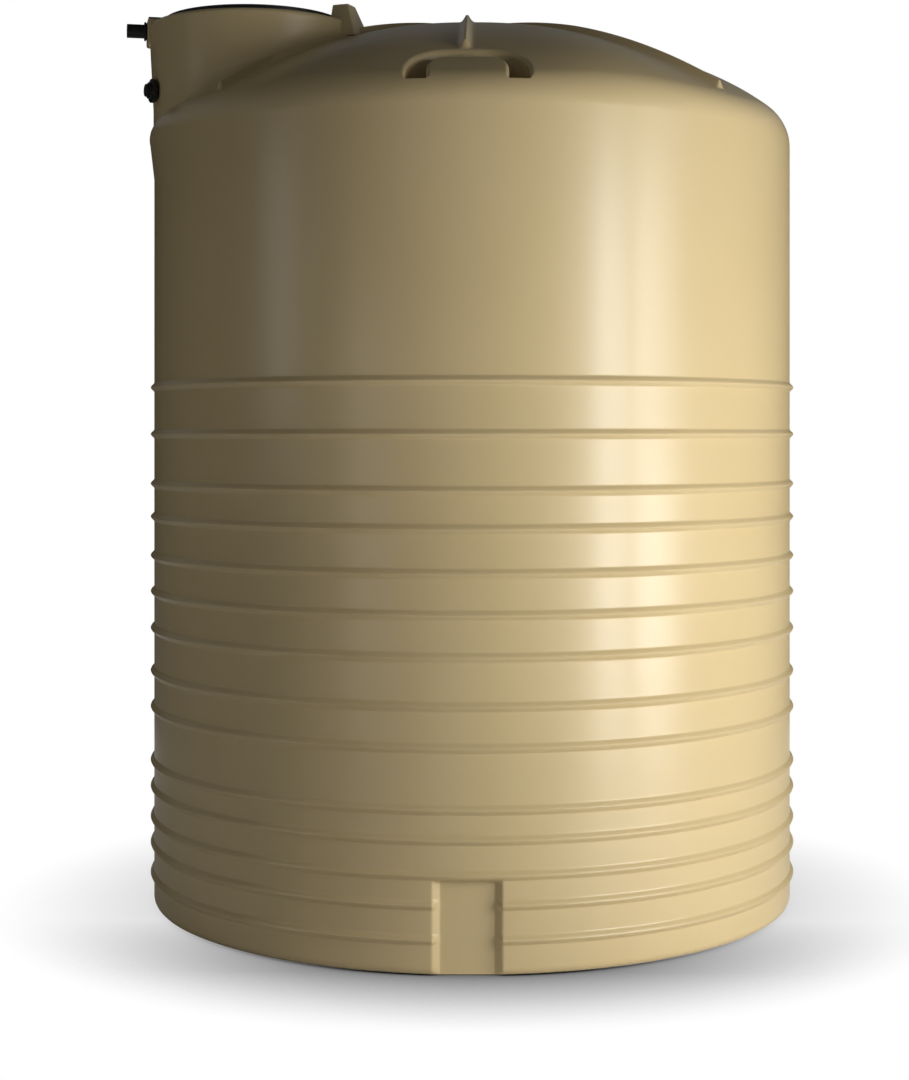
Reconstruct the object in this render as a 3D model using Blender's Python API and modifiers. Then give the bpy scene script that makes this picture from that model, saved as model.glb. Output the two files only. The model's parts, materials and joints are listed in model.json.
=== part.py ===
"""Round rainwater tank, rotationally moulded in one piece, with its strainer and neck fittings.

Metres, +Z up. The origin is the middle of the underside, on the tank's axis. The front, with the
flat outlet panel and the lifting groove, faces -Y. Azimuths are degrees round the axis from the
front, positive towards +X, so a point at azimuth a and radius r lies at (r sin a, -r cos a).

The shell is made as a mould maker draws it: one outer form, the same form drawn smaller by the
wall all over, and the second taken out of the first.
"""
import math

import bmesh
import bpy
from mathutils import Matrix, Vector

# Overall form of the shell
WALL_RADIUS = 0.900
WALL = 0.008
CROWN_HEIGHT = 2.458
ROOF_DROP = 0.291
SHOULDER_RADIUS = 0.108
BASE_CORNER = 0.022
ROOF_RINGS = 5

# Hoop beads that stiffen the wall, counted from the top
BEAD_HEIGHTS = (1.439, 1.309, 1.171, 1.079, 0.971, 0.871, 0.769, 0.650, 0.550, 0.401, 0.328,
                0.243, 0.171, 0.087)
BEAD_PROUD = 0.014
BEAD_BASE = 0.027
BEAD_CREST = 0.008
BEAD_BACK_SHARE = 0.9

# Roof fins, and the slight swell of the roof between two fins
FIN_COUNT = 7
FIN_HEIGHT = 0.027
FIN_BASE = 0.040
FIN_CREST = 0.010
FIN_STOP = 0.064
FIN_NOSE = 0.018
FIN_NOSE_SHARE = 0.45
FIN_CROWN_SHARE = 0.65
FIN_FULL_RADIUS = 0.360
FIN_START = 0.030
FIN_THINNEST = 0.001
HUB_RADIUS = 0.050
HUB_RISE = 0.9
ROOF_SWELL = 0.015

# Horseshoe lifting groove at the front edge of the roof, and the tongue that it runs round
GROOVE_WIDTH = 0.338
GROOVE_LENGTH = 0.178
GROOVE_CORNER = 0.100
GROOVE_RISE = 0.005
SLING_SIDE_GAP = 0.071
SLING_BACK_GAP = 0.065
TONGUE_CORNER = 0.050

# Flat outlet panel sunk into the foot of the wall
PANEL_WIDTH = 0.138
PANEL_DRAFT = 0.016
PANEL_TOP = 0.226
PANEL_DEPTH = 0.019
PANEL_TOP_SLOPE = 0.25

# Inlet neck on the roof's left edge; it hangs over the wall a little, and its rim lies below the
# crown by a drop. Heights at its foot count from the level where the roof's curve meets the wall.
NECK_OVERHANG = 0.015
NECK_AZIMUTH = -540.0 / FIN_COUNT
NECK_RIM_RADIUS = 0.291
NECK_TAPER = 0.012
NECK_RIM_DROP = 0.0145
NECK_FOOT_RISE = 0.038
NECK_EDGE = 0.012
NECK_ROOT_DRAW = 0.060
NECK_ROOT_DROP = 0.110

# Ear on the neck's rim, and the raised housing over the overflow spigot
EAR_AZIMUTH = 70.0
EAR_RISE = 0.054
EAR_DROP = 0.045
EAR_HALF_WIDTH = 0.036
EAR_PROUD = 0.004
EAR_DRAFT = 0.010
HOUSING_PROUD = 0.006
HOUSING_TOP_EDGE = 0.0053
HOUSING_FOOT_EDGE = 0.0127
HOUSING_SIDE_EDGE = 0.014

# Leaf strainer in the neck
SEAT_GAP = 0.0003
FIT_CLEARANCE = 0.003
RIM_SHOWING = 0.041
FLANGE_SEAT = 0.030
FLANGE_THICK = 0.005
UPSTAND_HEIGHT = 0.0165
UPSTAND_THICK = 0.008
BASKET_DEPTH = 0.110
BASKET_WALL = 0.004
BASKET_LIP = 0.022
BASKET_WINDOWS = 12
WINDOW_MARGIN = 0.027
WINDOW_SHARE = 0.62
MESH_THICK = 0.002
MESH_HOLES = 7
MESH_BAR_SHARE = 0.30
CLAMP_THICK = 0.004
CLAMP_OVERHANG = 0.004
TAB_HALF_WIDTH = 0.026
TAB_THICK = 0.005
TAB_SETBACK = 0.003
SCREW_COUNT = 6
SCREW_SHANK = 0.0025
SCREW_HEAD = 0.0060
SCREW_HEAD_HEIGHT = 0.0035
SCREW_CROWN_SHARE = 0.7
SCREW_EDGE_SHARE = 0.4
SCREW_LENGTH = 0.018
SCREW_CLEARANCE = 0.0004

# Overflow spigot through the housing
SPIGOT_RADIUS = 0.019
SPIGOT_BORE = 0.011
SPIGOT_LIP = 0.003
SPIGOT_TAPER = 0.006
SPIGOT_SHANK = 0.014
SPIGOT_LENGTH = 0.068
SPIGOT_FLANGE = 0.026
SPIGOT_FLANGE_THICK = 0.005
SPIGOT_NUT = 0.022
SPIGOT_NUT_THICK = 0.007
NUT_CLEARANCE = 0.001

# Plugged bulkhead fitting low on the neck
FITTING_AZIMUTH = -64.0
FITTING_RISE = 0.082
FITTING_PAD_PROUD = 0.0075
FITTING_PAD_EDGE = 0.009
FITTING_PAD_ROOT = 0.040
FITTING_FLANGE = 0.033
FITTING_FLANGE_THICK = 0.009
FITTING_HUB = 0.0225
FITTING_REACH = 0.027
FITTING_SHANK = 0.019
FITTING_BORE = 0.0125
FITTING_EDGE = 0.0025
FITTING_NUT = 0.029
FITTING_NUT_THICK = 0.010
PLUG_HEAD = 0.018
PLUG_HEAD_THICK = 0.007
PLUG_DEPTH = 0.020
GASKET_THICK = 0.002
GASKET_SETBACK = 0.002
THREAD_SPARE = 0.004

# Fineness of the round shapes; the shell's count is a multiple of the fins so they meet its edges
SHELL_STEPS = 5 * FIN_COUNT
NECK_STEPS = 32
FITTING_STEPS = 16
SCREW_STEPS = 8
HOLE_STEPS = 8
OVERSHOOT = 0.05
WELD = 0.00002

PARTS = bpy.data.collections.new("rainwater_tank")
CUTTERS = bpy.data.collections.new("cutters")


def material(name, colour, roughness, metallic=0.0):
    """One Principled material with a linear base colour."""
    made = bpy.data.materials.new(name)
    made.use_nodes = True
    shader = made.node_tree.nodes["Principled BSDF"]
    shader.inputs["Base Color"].default_value = (*colour, 1.0)
    shader.inputs["Roughness"].default_value = roughness
    shader.inputs["Metallic"].default_value = metallic
    return made


def place(radius, azimuth, height):
    """The point at a radius and an azimuth from the front, as a vector."""
    turn = math.radians(azimuth)
    return Vector((radius * math.sin(turn), -radius * math.cos(turn), height))


def neck_centre():
    """The neck's axis where it crosses the plane of the underside."""
    return place(WALL_RADIUS + NECK_OVERHANG - NECK_RIM_RADIUS, NECK_AZIMUTH, 0.0)


def roof_edge():
    """Height at which the roof's curve would meet the wall."""
    return CROWN_HEIGHT - ROOF_DROP


def rim_height():
    """Height of the neck's rim."""
    return CROWN_HEIGHT - NECK_RIM_DROP


def flange_radius():
    """Outer radius of the strainer's flange, which leaves some of the rim showing."""
    return NECK_RIM_RADIUS - RIM_SHOWING


def neck_bore():
    """Radius of the hole in the rim, which the strainer's flange overlaps by its seat."""
    return flange_radius() - FLANGE_SEAT


def housing_top():
    """Height of the housing, which the strainer's tab lies over, level with the upstand's top."""
    return rim_height() + UPSTAND_HEIGHT - TAB_THICK


def housing_seat():
    """Distance of the housing's flat face from the neck's axis."""
    return NECK_RIM_RADIUS + HOUSING_PROUD


def spigot_height():
    """Height of the spigot's axis: its flange clears the housing's edge, its nut the wall inside."""
    return housing_top() - max(SPIGOT_FLANGE + HOUSING_TOP_EDGE, SPIGOT_NUT + WALL + NUT_CLEARANCE)


def fitting_height():
    """Height of the bulkhead fitting's axis."""
    return roof_edge() + FITTING_RISE


def fitting_seat():
    """Distance of the fitting's pad from the neck's axis."""
    return NECK_RIM_RADIUS - NECK_TAPER + FITTING_PAD_PROUD


def add_object(name, mesh, group):
    """Links a mesh as an object; cutters stay out of the render."""
    made = bpy.data.objects.new(name, mesh)
    group.objects.link(made)
    if group is CUTTERS:
        made.hide_render = True
        made.display_type = "WIRE"
    return made


def from_bmesh(name, shape, group=CUTTERS):
    """Turns a bmesh into an object with its faces pointing out."""
    bmesh.ops.recalc_face_normals(shape, faces=shape.faces)
    mesh = bpy.data.meshes.new(name)
    shape.to_mesh(mesh)
    shape.free()
    return add_object(name, mesh, group)


def turned(name, profile, steps, group=CUTTERS, closed=False):
    """Turns a profile of (radius, height) points round Z with a Screw modifier."""
    mesh = bpy.data.meshes.new(name)
    count = len(profile)
    edges = [(i, i + 1) for i in range(count - 1)]
    if closed:
        edges.append((count - 1, 0))
    mesh.from_pydata([(radius, 0.0, height) for radius, height in profile], edges, [])
    made = add_object(name, mesh, group)
    turn = made.modifiers.new("turn", "SCREW")
    turn.axis = "Z"
    turn.steps = steps
    turn.render_steps = steps
    turn.use_merge_vertices = True
    turn.merge_threshold = 0.00001
    turn.use_smooth_shade = False
    return made


def baked(made):
    """Applies the modifiers of an object to its mesh."""
    bpy.context.view_layer.update()
    graph = bpy.context.evaluated_depsgraph_get()
    mesh = bpy.data.meshes.new_from_object(made.evaluated_get(graph))
    made.modifiers.clear()
    made.data = mesh
    return made


def combine(made, other, operation):
    """Joins or cuts with an exact Boolean, applies it and drops the second object."""
    step = made.modifiers.new(operation.lower(), "BOOLEAN")
    step.operation = operation
    step.solver = "EXACT"
    step.object = other
    baked(made)
    bpy.data.objects.remove(other)
    shape = bmesh.new()
    shape.from_mesh(made.data)
    bmesh.ops.remove_doubles(shape, verts=shape.verts, dist=WELD)
    bmesh.ops.dissolve_degenerate(shape, edges=shape.edges, dist=WELD)
    shape.to_mesh(made.data)
    shape.free()
    return made


def join(made, *others):
    """Fuses each of the others into the first object."""
    for other in others:
        combine(made, other, "UNION")
    return made


def cut(made, *others):
    """Takes each of the others out of the first object."""
    for other in others:
        combine(made, other, "DIFFERENCE")
    return made


def rod(name, radius, start, end, steps, group=CUTTERS):
    """A cylinder, or a prism of few sides, between two points."""
    shape = bmesh.new()
    span = Vector(end) - Vector(start)
    middle = (Vector(end) + Vector(start)) / 2
    stand = span.to_track_quat("Z", "Y").to_matrix().to_4x4()
    bmesh.ops.create_cone(shape, cap_ends=True, segments=steps, radius1=radius, radius2=radius,
                          depth=span.length, matrix=Matrix.Translation(middle) @ stand)
    return from_bmesh(name, shape, group)


def prism(name, outline, low, high, group=CUTTERS):
    """A flat outline of (x, y) points raised from one height to another."""
    shape = bmesh.new()
    face = shape.faces.new([shape.verts.new((x, y, low)) for x, y in outline])
    raised = bmesh.ops.extrude_face_region(shape, geom=[face])
    tops = [part for part in raised["geom"] if isinstance(part, bmesh.types.BMVert)]
    bmesh.ops.translate(shape, verts=tops, vec=(0.0, 0.0, high - low))
    return from_bmesh(name, shape, group)


def loft(name, rings, group=CUTTERS):
    """Skins a row of equal rings of points and caps both ends."""
    shape = bmesh.new()
    rows = [[shape.verts.new(point) for point in ring] for ring in rings]
    for row, following in zip(rows, rows[1:]):
        for i, vert in enumerate(row):
            j = (i + 1) % len(row)
            shape.faces.new((vert, row[j], following[j], following[i]))
    shape.faces.new(rows[0])
    shape.faces.new(rows[-1])
    return from_bmesh(name, shape, group)


def roof_height(radius):
    """Height of the plain roof, a shallow bowl turned over."""
    return CROWN_HEIGHT - ROOF_DROP * (radius / WALL_RADIUS) ** 2


def roof_swell(radius, azimuth):
    """Extra height of the roof between two fins; none at the fins, the crown and the wall."""
    share = min(radius / WALL_RADIUS, 1.0)
    across = (1.0 - math.cos(math.radians(azimuth) * FIN_COUNT)) / 2
    return ROOF_SWELL * across * math.sin(math.pi * share ** 2.5)


def shoulder_arc(inset, points):
    """The rounded shoulder, from where it leaves the roof down to where it meets the wall."""
    radius = SHOULDER_RADIUS - inset
    centre = WALL_RADIUS - SHOULDER_RADIUS
    lean = math.atan(2.0 * ROOF_DROP * centre / WALL_RADIUS ** 2)
    for _ in range(8):
        meet = centre + SHOULDER_RADIUS * math.sin(lean)
        lean = math.atan(2.0 * ROOF_DROP * meet / WALL_RADIUS ** 2)
    height = roof_height(meet) - SHOULDER_RADIUS * math.cos(lean)
    arc = []
    for i in range(points):
        tilt = lean + (math.pi / 2 - lean) * i / (points - 1)
        arc.append((centre + radius * math.sin(tilt), height + radius * math.cos(tilt)))
    return arc


def bead_points(height, inset):
    """One hoop bead in section; the inner side is a shallow V that follows the outer."""
    wall = WALL_RADIUS - inset
    half = BEAD_BASE / 2
    if inset == 0.0:
        crest = BEAD_CREST / 2
        proud = WALL_RADIUS + BEAD_PROUD
        return [(wall, height + half), (proud, height + crest), (proud, height - crest),
                (wall, height - half)]
    inner_half = half - inset / 2
    return [(wall, height + inner_half), (wall + BEAD_PROUD * BEAD_BACK_SHARE, height),
            (wall, height - inner_half)]


def shell_profile(inset):
    """Half section of the tank without its neck, top to bottom."""
    arc = shoulder_arc(inset, 5)
    edge = arc[0][0]
    points = []
    for i in range(ROOF_RINGS):
        radius = edge * i / ROOF_RINGS
        lean = math.atan(2.0 * ROOF_DROP * radius / WALL_RADIUS ** 2)
        points.append((radius, roof_height(radius) - inset / math.cos(lean)))
    points += arc
    for height in BEAD_HEIGHTS:
        points += bead_points(height, inset)
    corner = BASE_CORNER - inset
    centre = WALL_RADIUS - BASE_CORNER
    for tilt in (0.0, 45.0, 90.0):
        turn = math.radians(tilt)
        points.append((centre + corner * math.cos(turn), BASE_CORNER - corner * math.sin(turn)))
    points.append((0.0, inset))
    return points


def shell_form(inset):
    """The turned tank, with its roof raised a little between the fins."""
    made = baked(turned("shell_form", shell_profile(inset), SHELL_STEPS))
    turn = Matrix.Rotation(-math.pi / 2, 4, "Z")
    made.data.transform(turn)
    foot = shoulder_arc(0.0, 2)[-1][1]
    for vert in made.data.vertices:
        x, y, height = vert.co
        if height > foot:
            azimuth = math.degrees(math.atan2(x, -y))
            vert.co.z = height + roof_swell(math.hypot(x, y), azimuth)
    return made


def fin_form(number, inset):
    """A tapered ridge along one radius of the roof, with a blunt nose at its outer end."""
    side = math.atan2(FIN_HEIGHT, (FIN_BASE - FIN_CREST) / 2)
    narrow = inset / math.sin(side)
    base = FIN_BASE / 2 - narrow
    crest = max(FIN_CREST / 2 - narrow, FIN_THINNEST)
    end = WALL_RADIUS - FIN_STOP - inset
    if number == 0:
        end = WALL_RADIUS - GROOVE_LENGTH + SLING_BACK_GAP / 2
    start = FIN_START if inset == 0.0 else HUB_RADIUS + WALL
    nose = end - FIN_NOSE
    stations = [(start + (nose - start) * i / 4, 1.0) for i in range(5)]
    stations.append((end, FIN_NOSE_SHARE))
    turn = Matrix.Rotation(math.radians(360.0 * number / FIN_COUNT), 4, "Z")
    rings = []
    for radius, share in stations:
        outward = min(1.0, radius / FIN_FULL_RADIUS)
        rise = FIN_CROWN_SHARE + (1.0 - FIN_CROWN_SHARE) * outward
        roof = roof_height(radius)
        top = roof + (FIN_HEIGHT - inset) * rise * share
        root = roof - inset - WALL / 2
        ring = [(base, root), (crest, top), (-crest, top), (-base, root)]
        rings.append([turn @ Vector((x, -radius, height)) for x, height in ring])
    return loft("fin_form", rings)


def hub_form():
    """Low round boss at the crown where the fins meet."""
    top = CROWN_HEIGHT + FIN_HEIGHT * HUB_RISE
    return rod("hub_form", HUB_RADIUS, (0, 0, CROWN_HEIGHT - WALL), (0, 0, top), 2 * FIN_COUNT)


def horseshoe_outline(half_width, back, corner, front):
    """Plan of a slot that is open at the front, with two rounded corners at its back."""
    points = [(half_width, -front)]
    for centre_x, first in ((half_width - corner, 0.0), (corner - half_width, 90.0)):
        for i in range(5):
            turn = math.radians(first + 90.0 * i / 4)
            points.append((centre_x + corner * math.cos(turn),
                           -(back + corner) + corner * math.sin(turn)))
    points.append((-half_width, -front))
    return points


def groove_form(grow):
    """The horseshoe groove as a solid: its outer outline less the tongue inside it."""
    front = WALL_RADIUS + OVERSHOOT
    floor = roof_edge() + GROOVE_RISE - grow
    top = CROWN_HEIGHT + OVERSHOOT
    half = GROOVE_WIDTH / 2
    back = WALL_RADIUS - GROOVE_LENGTH
    outer = horseshoe_outline(half + grow, back - grow, GROOVE_CORNER + grow, front)
    inner = horseshoe_outline(half - SLING_SIDE_GAP - grow, back + SLING_BACK_GAP + grow,
                              TONGUE_CORNER - grow, front + OVERSHOOT)
    made = prism("groove_form", outer, floor, top)
    return cut(made, prism("tongue_form", inner, floor - OVERSHOOT, top + OVERSHOOT))


def panel_form(grow):
    """The sunk outlet panel as a tapered solid, open at the tank's underside."""
    face = WALL_RADIUS - PANEL_DEPTH - grow
    mouth = WALL_RADIUS + BEAD_PROUD + OVERSHOOT
    slope = PANEL_DRAFT / PANEL_DEPTH
    rings = []
    for depth in (face, mouth):
        half = PANEL_WIDTH / 2 + grow + (depth - face) * slope
        top = PANEL_TOP + grow + (depth - face) * PANEL_TOP_SLOPE
        rings.append([(half, -depth, -OVERSHOOT), (half, -depth, top), (-half, -depth, top),
                      (-half, -depth, -OVERSHOOT)])
    return loft("panel_form", rings)


def neck_form(inset):
    """The neck as a turned solid; its foot draws in so that it ends inside the shoulder."""
    rim = rim_height() - inset
    edge = NECK_EDGE - inset / 2
    ease = edge * (1.0 - math.sqrt(0.5))
    outer = NECK_RIM_RADIUS - inset
    foot = outer - NECK_TAPER
    foot_height = roof_edge() + NECK_FOOT_RISE
    root = foot_height - NECK_ROOT_DROP
    profile = [(0.0, rim), (outer - edge, rim), (outer - ease, rim - ease), (outer, rim - edge),
               (foot, foot_height), (foot - NECK_ROOT_DRAW, root), (0.0, root)]
    made = baked(turned("neck_form", profile, NECK_STEPS))
    made.data.transform(Matrix.Translation(neck_centre()))
    return made


def neck_frame(azimuth, reach, height):
    """Matrix at a point on the neck's side: X across, Y up, Z straight out from the neck's axis."""
    out = place(1.0, azimuth, 0.0)
    up = Vector((0.0, 0.0, 1.0))
    across = up.cross(out)
    turn = Matrix((across, up, out)).transposed().to_4x4()
    return Matrix.Translation(neck_centre() + out * reach + up * height) @ turn


def neck_block(name, azimuth, size, draft=0.0):
    """A block on the neck, given as (half width, near, far, low, high), with a drafted foot."""
    half, near, far, low, high = size
    rings = []
    for height, spread in ((low, draft), (high, 0.0)):
        frame = neck_frame(azimuth, 0.0, height)
        corners = [(-half - spread, near), (half + spread, near), (half + spread, far + spread),
                   (-half - spread, far + spread)]
        rings.append([frame @ Vector((across, 0.0, out)) for across, out in corners])
    return loft(name, rings)


def ear_form(inset):
    """Moulded ear that stands up from the rim on the roof's side."""
    near = flange_radius() + FIT_CLEARANCE + inset
    far = NECK_RIM_RADIUS + EAR_PROUD - inset
    low = rim_height() - EAR_DROP
    size = (EAR_HALF_WIDTH - inset, near, far, low, rim_height() + EAR_RISE - inset)
    return neck_block("ear_form", EAR_AZIMUTH, size, EAR_DRAFT)


def housing_form(inset):
    """Raised housing in the rim, flat on its outer side, that the overflow spigot seats on."""
    near = flange_radius() + FIT_CLEARANCE + inset
    half = SPIGOT_FLANGE + HOUSING_SIDE_EDGE
    foot = spigot_height() - SPIGOT_FLANGE - HOUSING_FOOT_EDGE
    size = (half - inset, near, housing_seat() - inset, foot + inset, housing_top() - inset)
    return neck_block("housing_form", NECK_AZIMUTH, size)


def fitting_pad_form(inset):
    """Round flat pad that the bulkhead fitting seats on."""
    frame = neck_frame(FITTING_AZIMUTH, 0.0, fitting_height())
    start = frame @ Vector((0.0, 0.0, fitting_seat() - FITTING_PAD_PROUD - FITTING_PAD_ROOT))
    end = frame @ Vector((0.0, 0.0, fitting_seat() - inset))
    radius = max(FITTING_FLANGE + FITTING_PAD_EDGE, FITTING_NUT + WALL + NUT_CLEARANCE)
    return rod("fitting_pad_form", radius - inset, start, end, FITTING_STEPS)


def tank_form(inset):
    """The whole mould form, drawn smaller by the inset."""
    made = shell_form(inset)
    join(made, neck_form(inset), ear_form(inset), housing_form(inset), fitting_pad_form(inset))
    join(made, *(fin_form(number, inset) for number in range(FIN_COUNT)))
    if inset == 0.0:
        join(made, hub_form())
    return cut(made, groove_form(inset), panel_form(inset))


def screw_places():
    """Azimuths of the strainer's screws round the neck, clear of the spigot's housing."""
    return [NECK_AZIMUTH + 360.0 * (i + 0.5) / SCREW_COUNT for i in range(SCREW_COUNT)]


def screw_circle():
    """Radius of the screws, midway between the bore and the strainer's upstand."""
    return (neck_bore() + flange_radius() - UPSTAND_THICK) / 2


def screw_hole(azimuth, radius):
    """Cutter for one screw hole through the strainer's flange and the rim."""
    frame = neck_frame(azimuth, screw_circle(), rim_height())
    return rod("screw_hole", radius, frame @ Vector((0, -OVERSHOOT, 0)),
               frame @ Vector((0, OVERSHOOT, 0)), HOLE_STEPS)


def neck_hole(azimuth, seat, height, radius):
    """Cutter for a round hole through the neck's side at a flat seat."""
    frame = neck_frame(azimuth, seat, height)
    near = frame @ Vector((0.0, 0.0, -2.0 * WALL))
    far = frame @ Vector((0.0, 0.0, OVERSHOOT))
    return rod("neck_hole", radius, near, far, FITTING_STEPS)


def tank_body(plastic):
    """The moulded shell: outer form less inner form, with the neck's bore and its holes."""
    made = cut(tank_form(0.0), tank_form(WALL))
    centre = neck_centre()
    low = centre + Vector((0.0, 0.0, rim_height() - OVERSHOOT))
    high = centre + Vector((0.0, 0.0, rim_height() + OVERSHOOT))
    bore = rod("bore", neck_bore(), low, high, NECK_STEPS)
    half_step = Matrix.Rotation(math.pi / NECK_STEPS, 4, "Z")
    bore.data.transform(Matrix.Translation(centre) @ half_step @ Matrix.Translation(-centre))
    cut(made, bore)
    cut(made, neck_hole(NECK_AZIMUTH, housing_seat(), spigot_height(),
                        SPIGOT_SHANK + SCREW_CLEARANCE))
    cut(made, neck_hole(FITTING_AZIMUTH, fitting_seat(), fitting_height(),
                        FITTING_SHANK + SCREW_CLEARANCE))
    cut(made, *(screw_hole(azimuth, SCREW_SHANK + SCREW_CLEARANCE) for azimuth in screw_places()))
    return finish(made, "tank_body", plastic)


def finish(made, name, look, smooth=40.0):
    """Names a finished piece, gives it its material and moves it among the parts."""
    made.name = name
    made.data.name = name
    made.data.materials.clear()
    made.data.materials.append(look)
    made.data.shade_smooth()
    made.data.set_sharp_from_angle(angle=math.radians(smooth))
    for group in list(made.users_collection):
        group.objects.unlink(made)
    PARTS.objects.link(made)
    made.hide_render = False
    made.display_type = "TEXTURED"
    return made


def basket_radius():
    """Outer radius of the strainer's basket, which drops into the bore."""
    return neck_bore() - FIT_CLEARANCE


def basket_floor():
    """Height of the basket's underside."""
    return rim_height() + SEAT_GAP - BASKET_DEPTH


def strainer_frame(plastic):
    """Flange, upstand and windowed basket wall in one moulding, with a tab over the housing."""
    seat = rim_height() + SEAT_GAP
    rim = flange_radius()
    wall = basket_radius()
    inside = wall - BASKET_WALL
    floor = basket_floor()
    profile = [
        (inside, seat + FLANGE_THICK), (rim - UPSTAND_THICK, seat + FLANGE_THICK),
        (rim - UPSTAND_THICK, seat + UPSTAND_HEIGHT), (rim, seat + UPSTAND_HEIGHT), (rim, seat),
        (wall, seat),
        (wall, floor), (inside - BASKET_LIP, floor), (inside - BASKET_LIP, floor + BASKET_WALL),
        (inside, floor + BASKET_WALL)]
    made = baked(turned("strainer_frame", profile, NECK_STEPS, closed=True))
    made.data.transform(Matrix.Translation(neck_centre()))
    sweep = math.pi * wall * WINDOW_SHARE / BASKET_WINDOWS
    for i in range(BASKET_WINDOWS):
        azimuth = NECK_AZIMUTH + 360.0 * (i + 0.5) / BASKET_WINDOWS
        size = (sweep, inside - BASKET_WALL, wall + BASKET_WALL, floor + WINDOW_MARGIN,
                seat - WINDOW_MARGIN)
        cut(made, neck_block("window", azimuth, size))
    tab_low = housing_top() + SEAT_GAP
    tab = (TAB_HALF_WIDTH, rim - UPSTAND_THICK / 2, housing_seat() - TAB_SETBACK, tab_low,
           tab_low + TAB_THICK)
    join(made, neck_block("tab", NECK_AZIMUTH, tab))
    cut(made, *(screw_hole(azimuth, SCREW_SHANK + SCREW_CLEARANCE) for azimuth in screw_places()))
    return finish(made, "strainer_frame", plastic)


def mesh_radius():
    """Radius of the mesh disc that lies in the basket."""
    return basket_radius() - BASKET_WALL - SEAT_GAP * 3


def strainer_mesh(steel):
    """Flat mesh disc on the basket's lip: a plate with a square grid of gaps."""
    low = basket_floor() + BASKET_WALL + SEAT_GAP
    centre = neck_centre()
    made = rod("strainer_mesh", mesh_radius(), centre + Vector((0, 0, low)),
               centre + Vector((0, 0, low + MESH_THICK)), NECK_STEPS)
    clear = mesh_radius() - BASKET_LIP
    pitch = 2.0 * clear / MESH_HOLES
    side = pitch * (1.0 - MESH_BAR_SHARE)
    gaps = bmesh.new()
    for row in range(MESH_HOLES):
        for column in range(MESH_HOLES):
            x = (column - (MESH_HOLES - 1) / 2) * pitch
            y = (row - (MESH_HOLES - 1) / 2) * pitch
            if math.hypot(abs(x) + side / 2, abs(y) + side / 2) < clear:
                stand = Matrix.Translation(centre + Vector((x, y, low)))
                size = Matrix.Diagonal((side, side, OVERSHOOT, 1.0))
                bmesh.ops.create_cube(gaps, size=1.0, matrix=stand @ size)
    cut(made, from_bmesh("gaps", gaps))
    return finish(made, "strainer_mesh", steel)


def mesh_clamp_ring(plastic):
    """Ring that holds the mesh down on the basket's lip."""
    low = basket_floor() + BASKET_WALL + SEAT_GAP * 2 + MESH_THICK
    outer = mesh_radius()
    inner = outer - BASKET_LIP + CLAMP_OVERHANG
    profile = [(inner, low + CLAMP_THICK), (outer, low + CLAMP_THICK), (outer, low), (inner, low)]
    made = baked(turned("mesh_clamp_ring", profile, NECK_STEPS, closed=True))
    made.data.transform(Matrix.Translation(neck_centre()))
    return finish(made, "mesh_clamp_ring", plastic)


def strainer_screw(number, azimuth, steel):
    """Pan-head screw through the flange into the rim."""
    top = FLANGE_THICK + SEAT_GAP * 2
    crown = top + SCREW_HEAD_HEIGHT
    profile = [(0.0, crown), (SCREW_HEAD * SCREW_CROWN_SHARE, crown),
               (SCREW_HEAD, top + SCREW_HEAD_HEIGHT * SCREW_EDGE_SHARE), (SCREW_HEAD, top),
               (SCREW_SHANK, top), (SCREW_SHANK, top - SCREW_LENGTH), (0.0, top - SCREW_LENGTH)]
    name = f"strainer_screw_{number}"
    made = baked(turned(name, profile, SCREW_STEPS))
    spot = neck_frame(azimuth, screw_circle(), rim_height()).translation
    made.data.transform(Matrix.Translation(spot))
    return finish(made, name, steel)


def on_neck(made, azimuth, seat, height):
    """Stands a turned piece on the neck's side, its own Z pointing straight out."""
    made.data.transform(neck_frame(azimuth, seat, height))
    return made


def ring(name, outer, inner, low, high, steps=FITTING_STEPS):
    """A plain ring turned about Z."""
    profile = [(inner, high), (outer, high), (outer, low), (inner, low)]
    return baked(turned(name, profile, steps, closed=True))


def hex_nut(name, corner, bore, low, high):
    """A six-sided nut with a round bore."""
    made = rod(name, corner, (0, 0, low), (0, 0, high), 6)
    return cut(made, rod("nut_bore", bore, (0, 0, low - OVERSHOOT), (0, 0, high + OVERSHOOT),
                         FITTING_STEPS))


def overflow_spigot(plastic):
    """Hollow spigot: outer pipe, flange and threaded shank in one moulding."""
    flange_back = GASKET_THICK + SEAT_GAP * 2
    flange_front = flange_back + SPIGOT_FLANGE_THICK
    tail = -WALL - SPIGOT_NUT_THICK - SEAT_GAP * 2 - THREAD_SPARE
    mouth = SPIGOT_RADIUS - SPIGOT_LIP
    profile = [
        (mouth, SPIGOT_LENGTH), (SPIGOT_RADIUS, SPIGOT_LENGTH), (SPIGOT_RADIUS, flange_front),
        (SPIGOT_FLANGE, flange_front), (SPIGOT_FLANGE, flange_back), (SPIGOT_SHANK, flange_back),
        (SPIGOT_SHANK, tail), (SPIGOT_BORE, tail), (SPIGOT_BORE, flange_front),
        (mouth, flange_front + SPIGOT_TAPER)]
    made = baked(turned("overflow_spigot", profile, FITTING_STEPS, closed=True))
    on_neck(made, NECK_AZIMUTH, housing_seat(), spigot_height())
    return finish(made, "overflow_spigot", plastic)


def overflow_gasket(rubber):
    """Flat rubber ring between the spigot's flange and the housing."""
    made = ring("overflow_gasket", SPIGOT_FLANGE - GASKET_SETBACK, SPIGOT_SHANK + SEAT_GAP, SEAT_GAP,
                SEAT_GAP + GASKET_THICK)
    on_neck(made, NECK_AZIMUTH, housing_seat(), spigot_height())
    return finish(made, "overflow_gasket", rubber)


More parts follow.
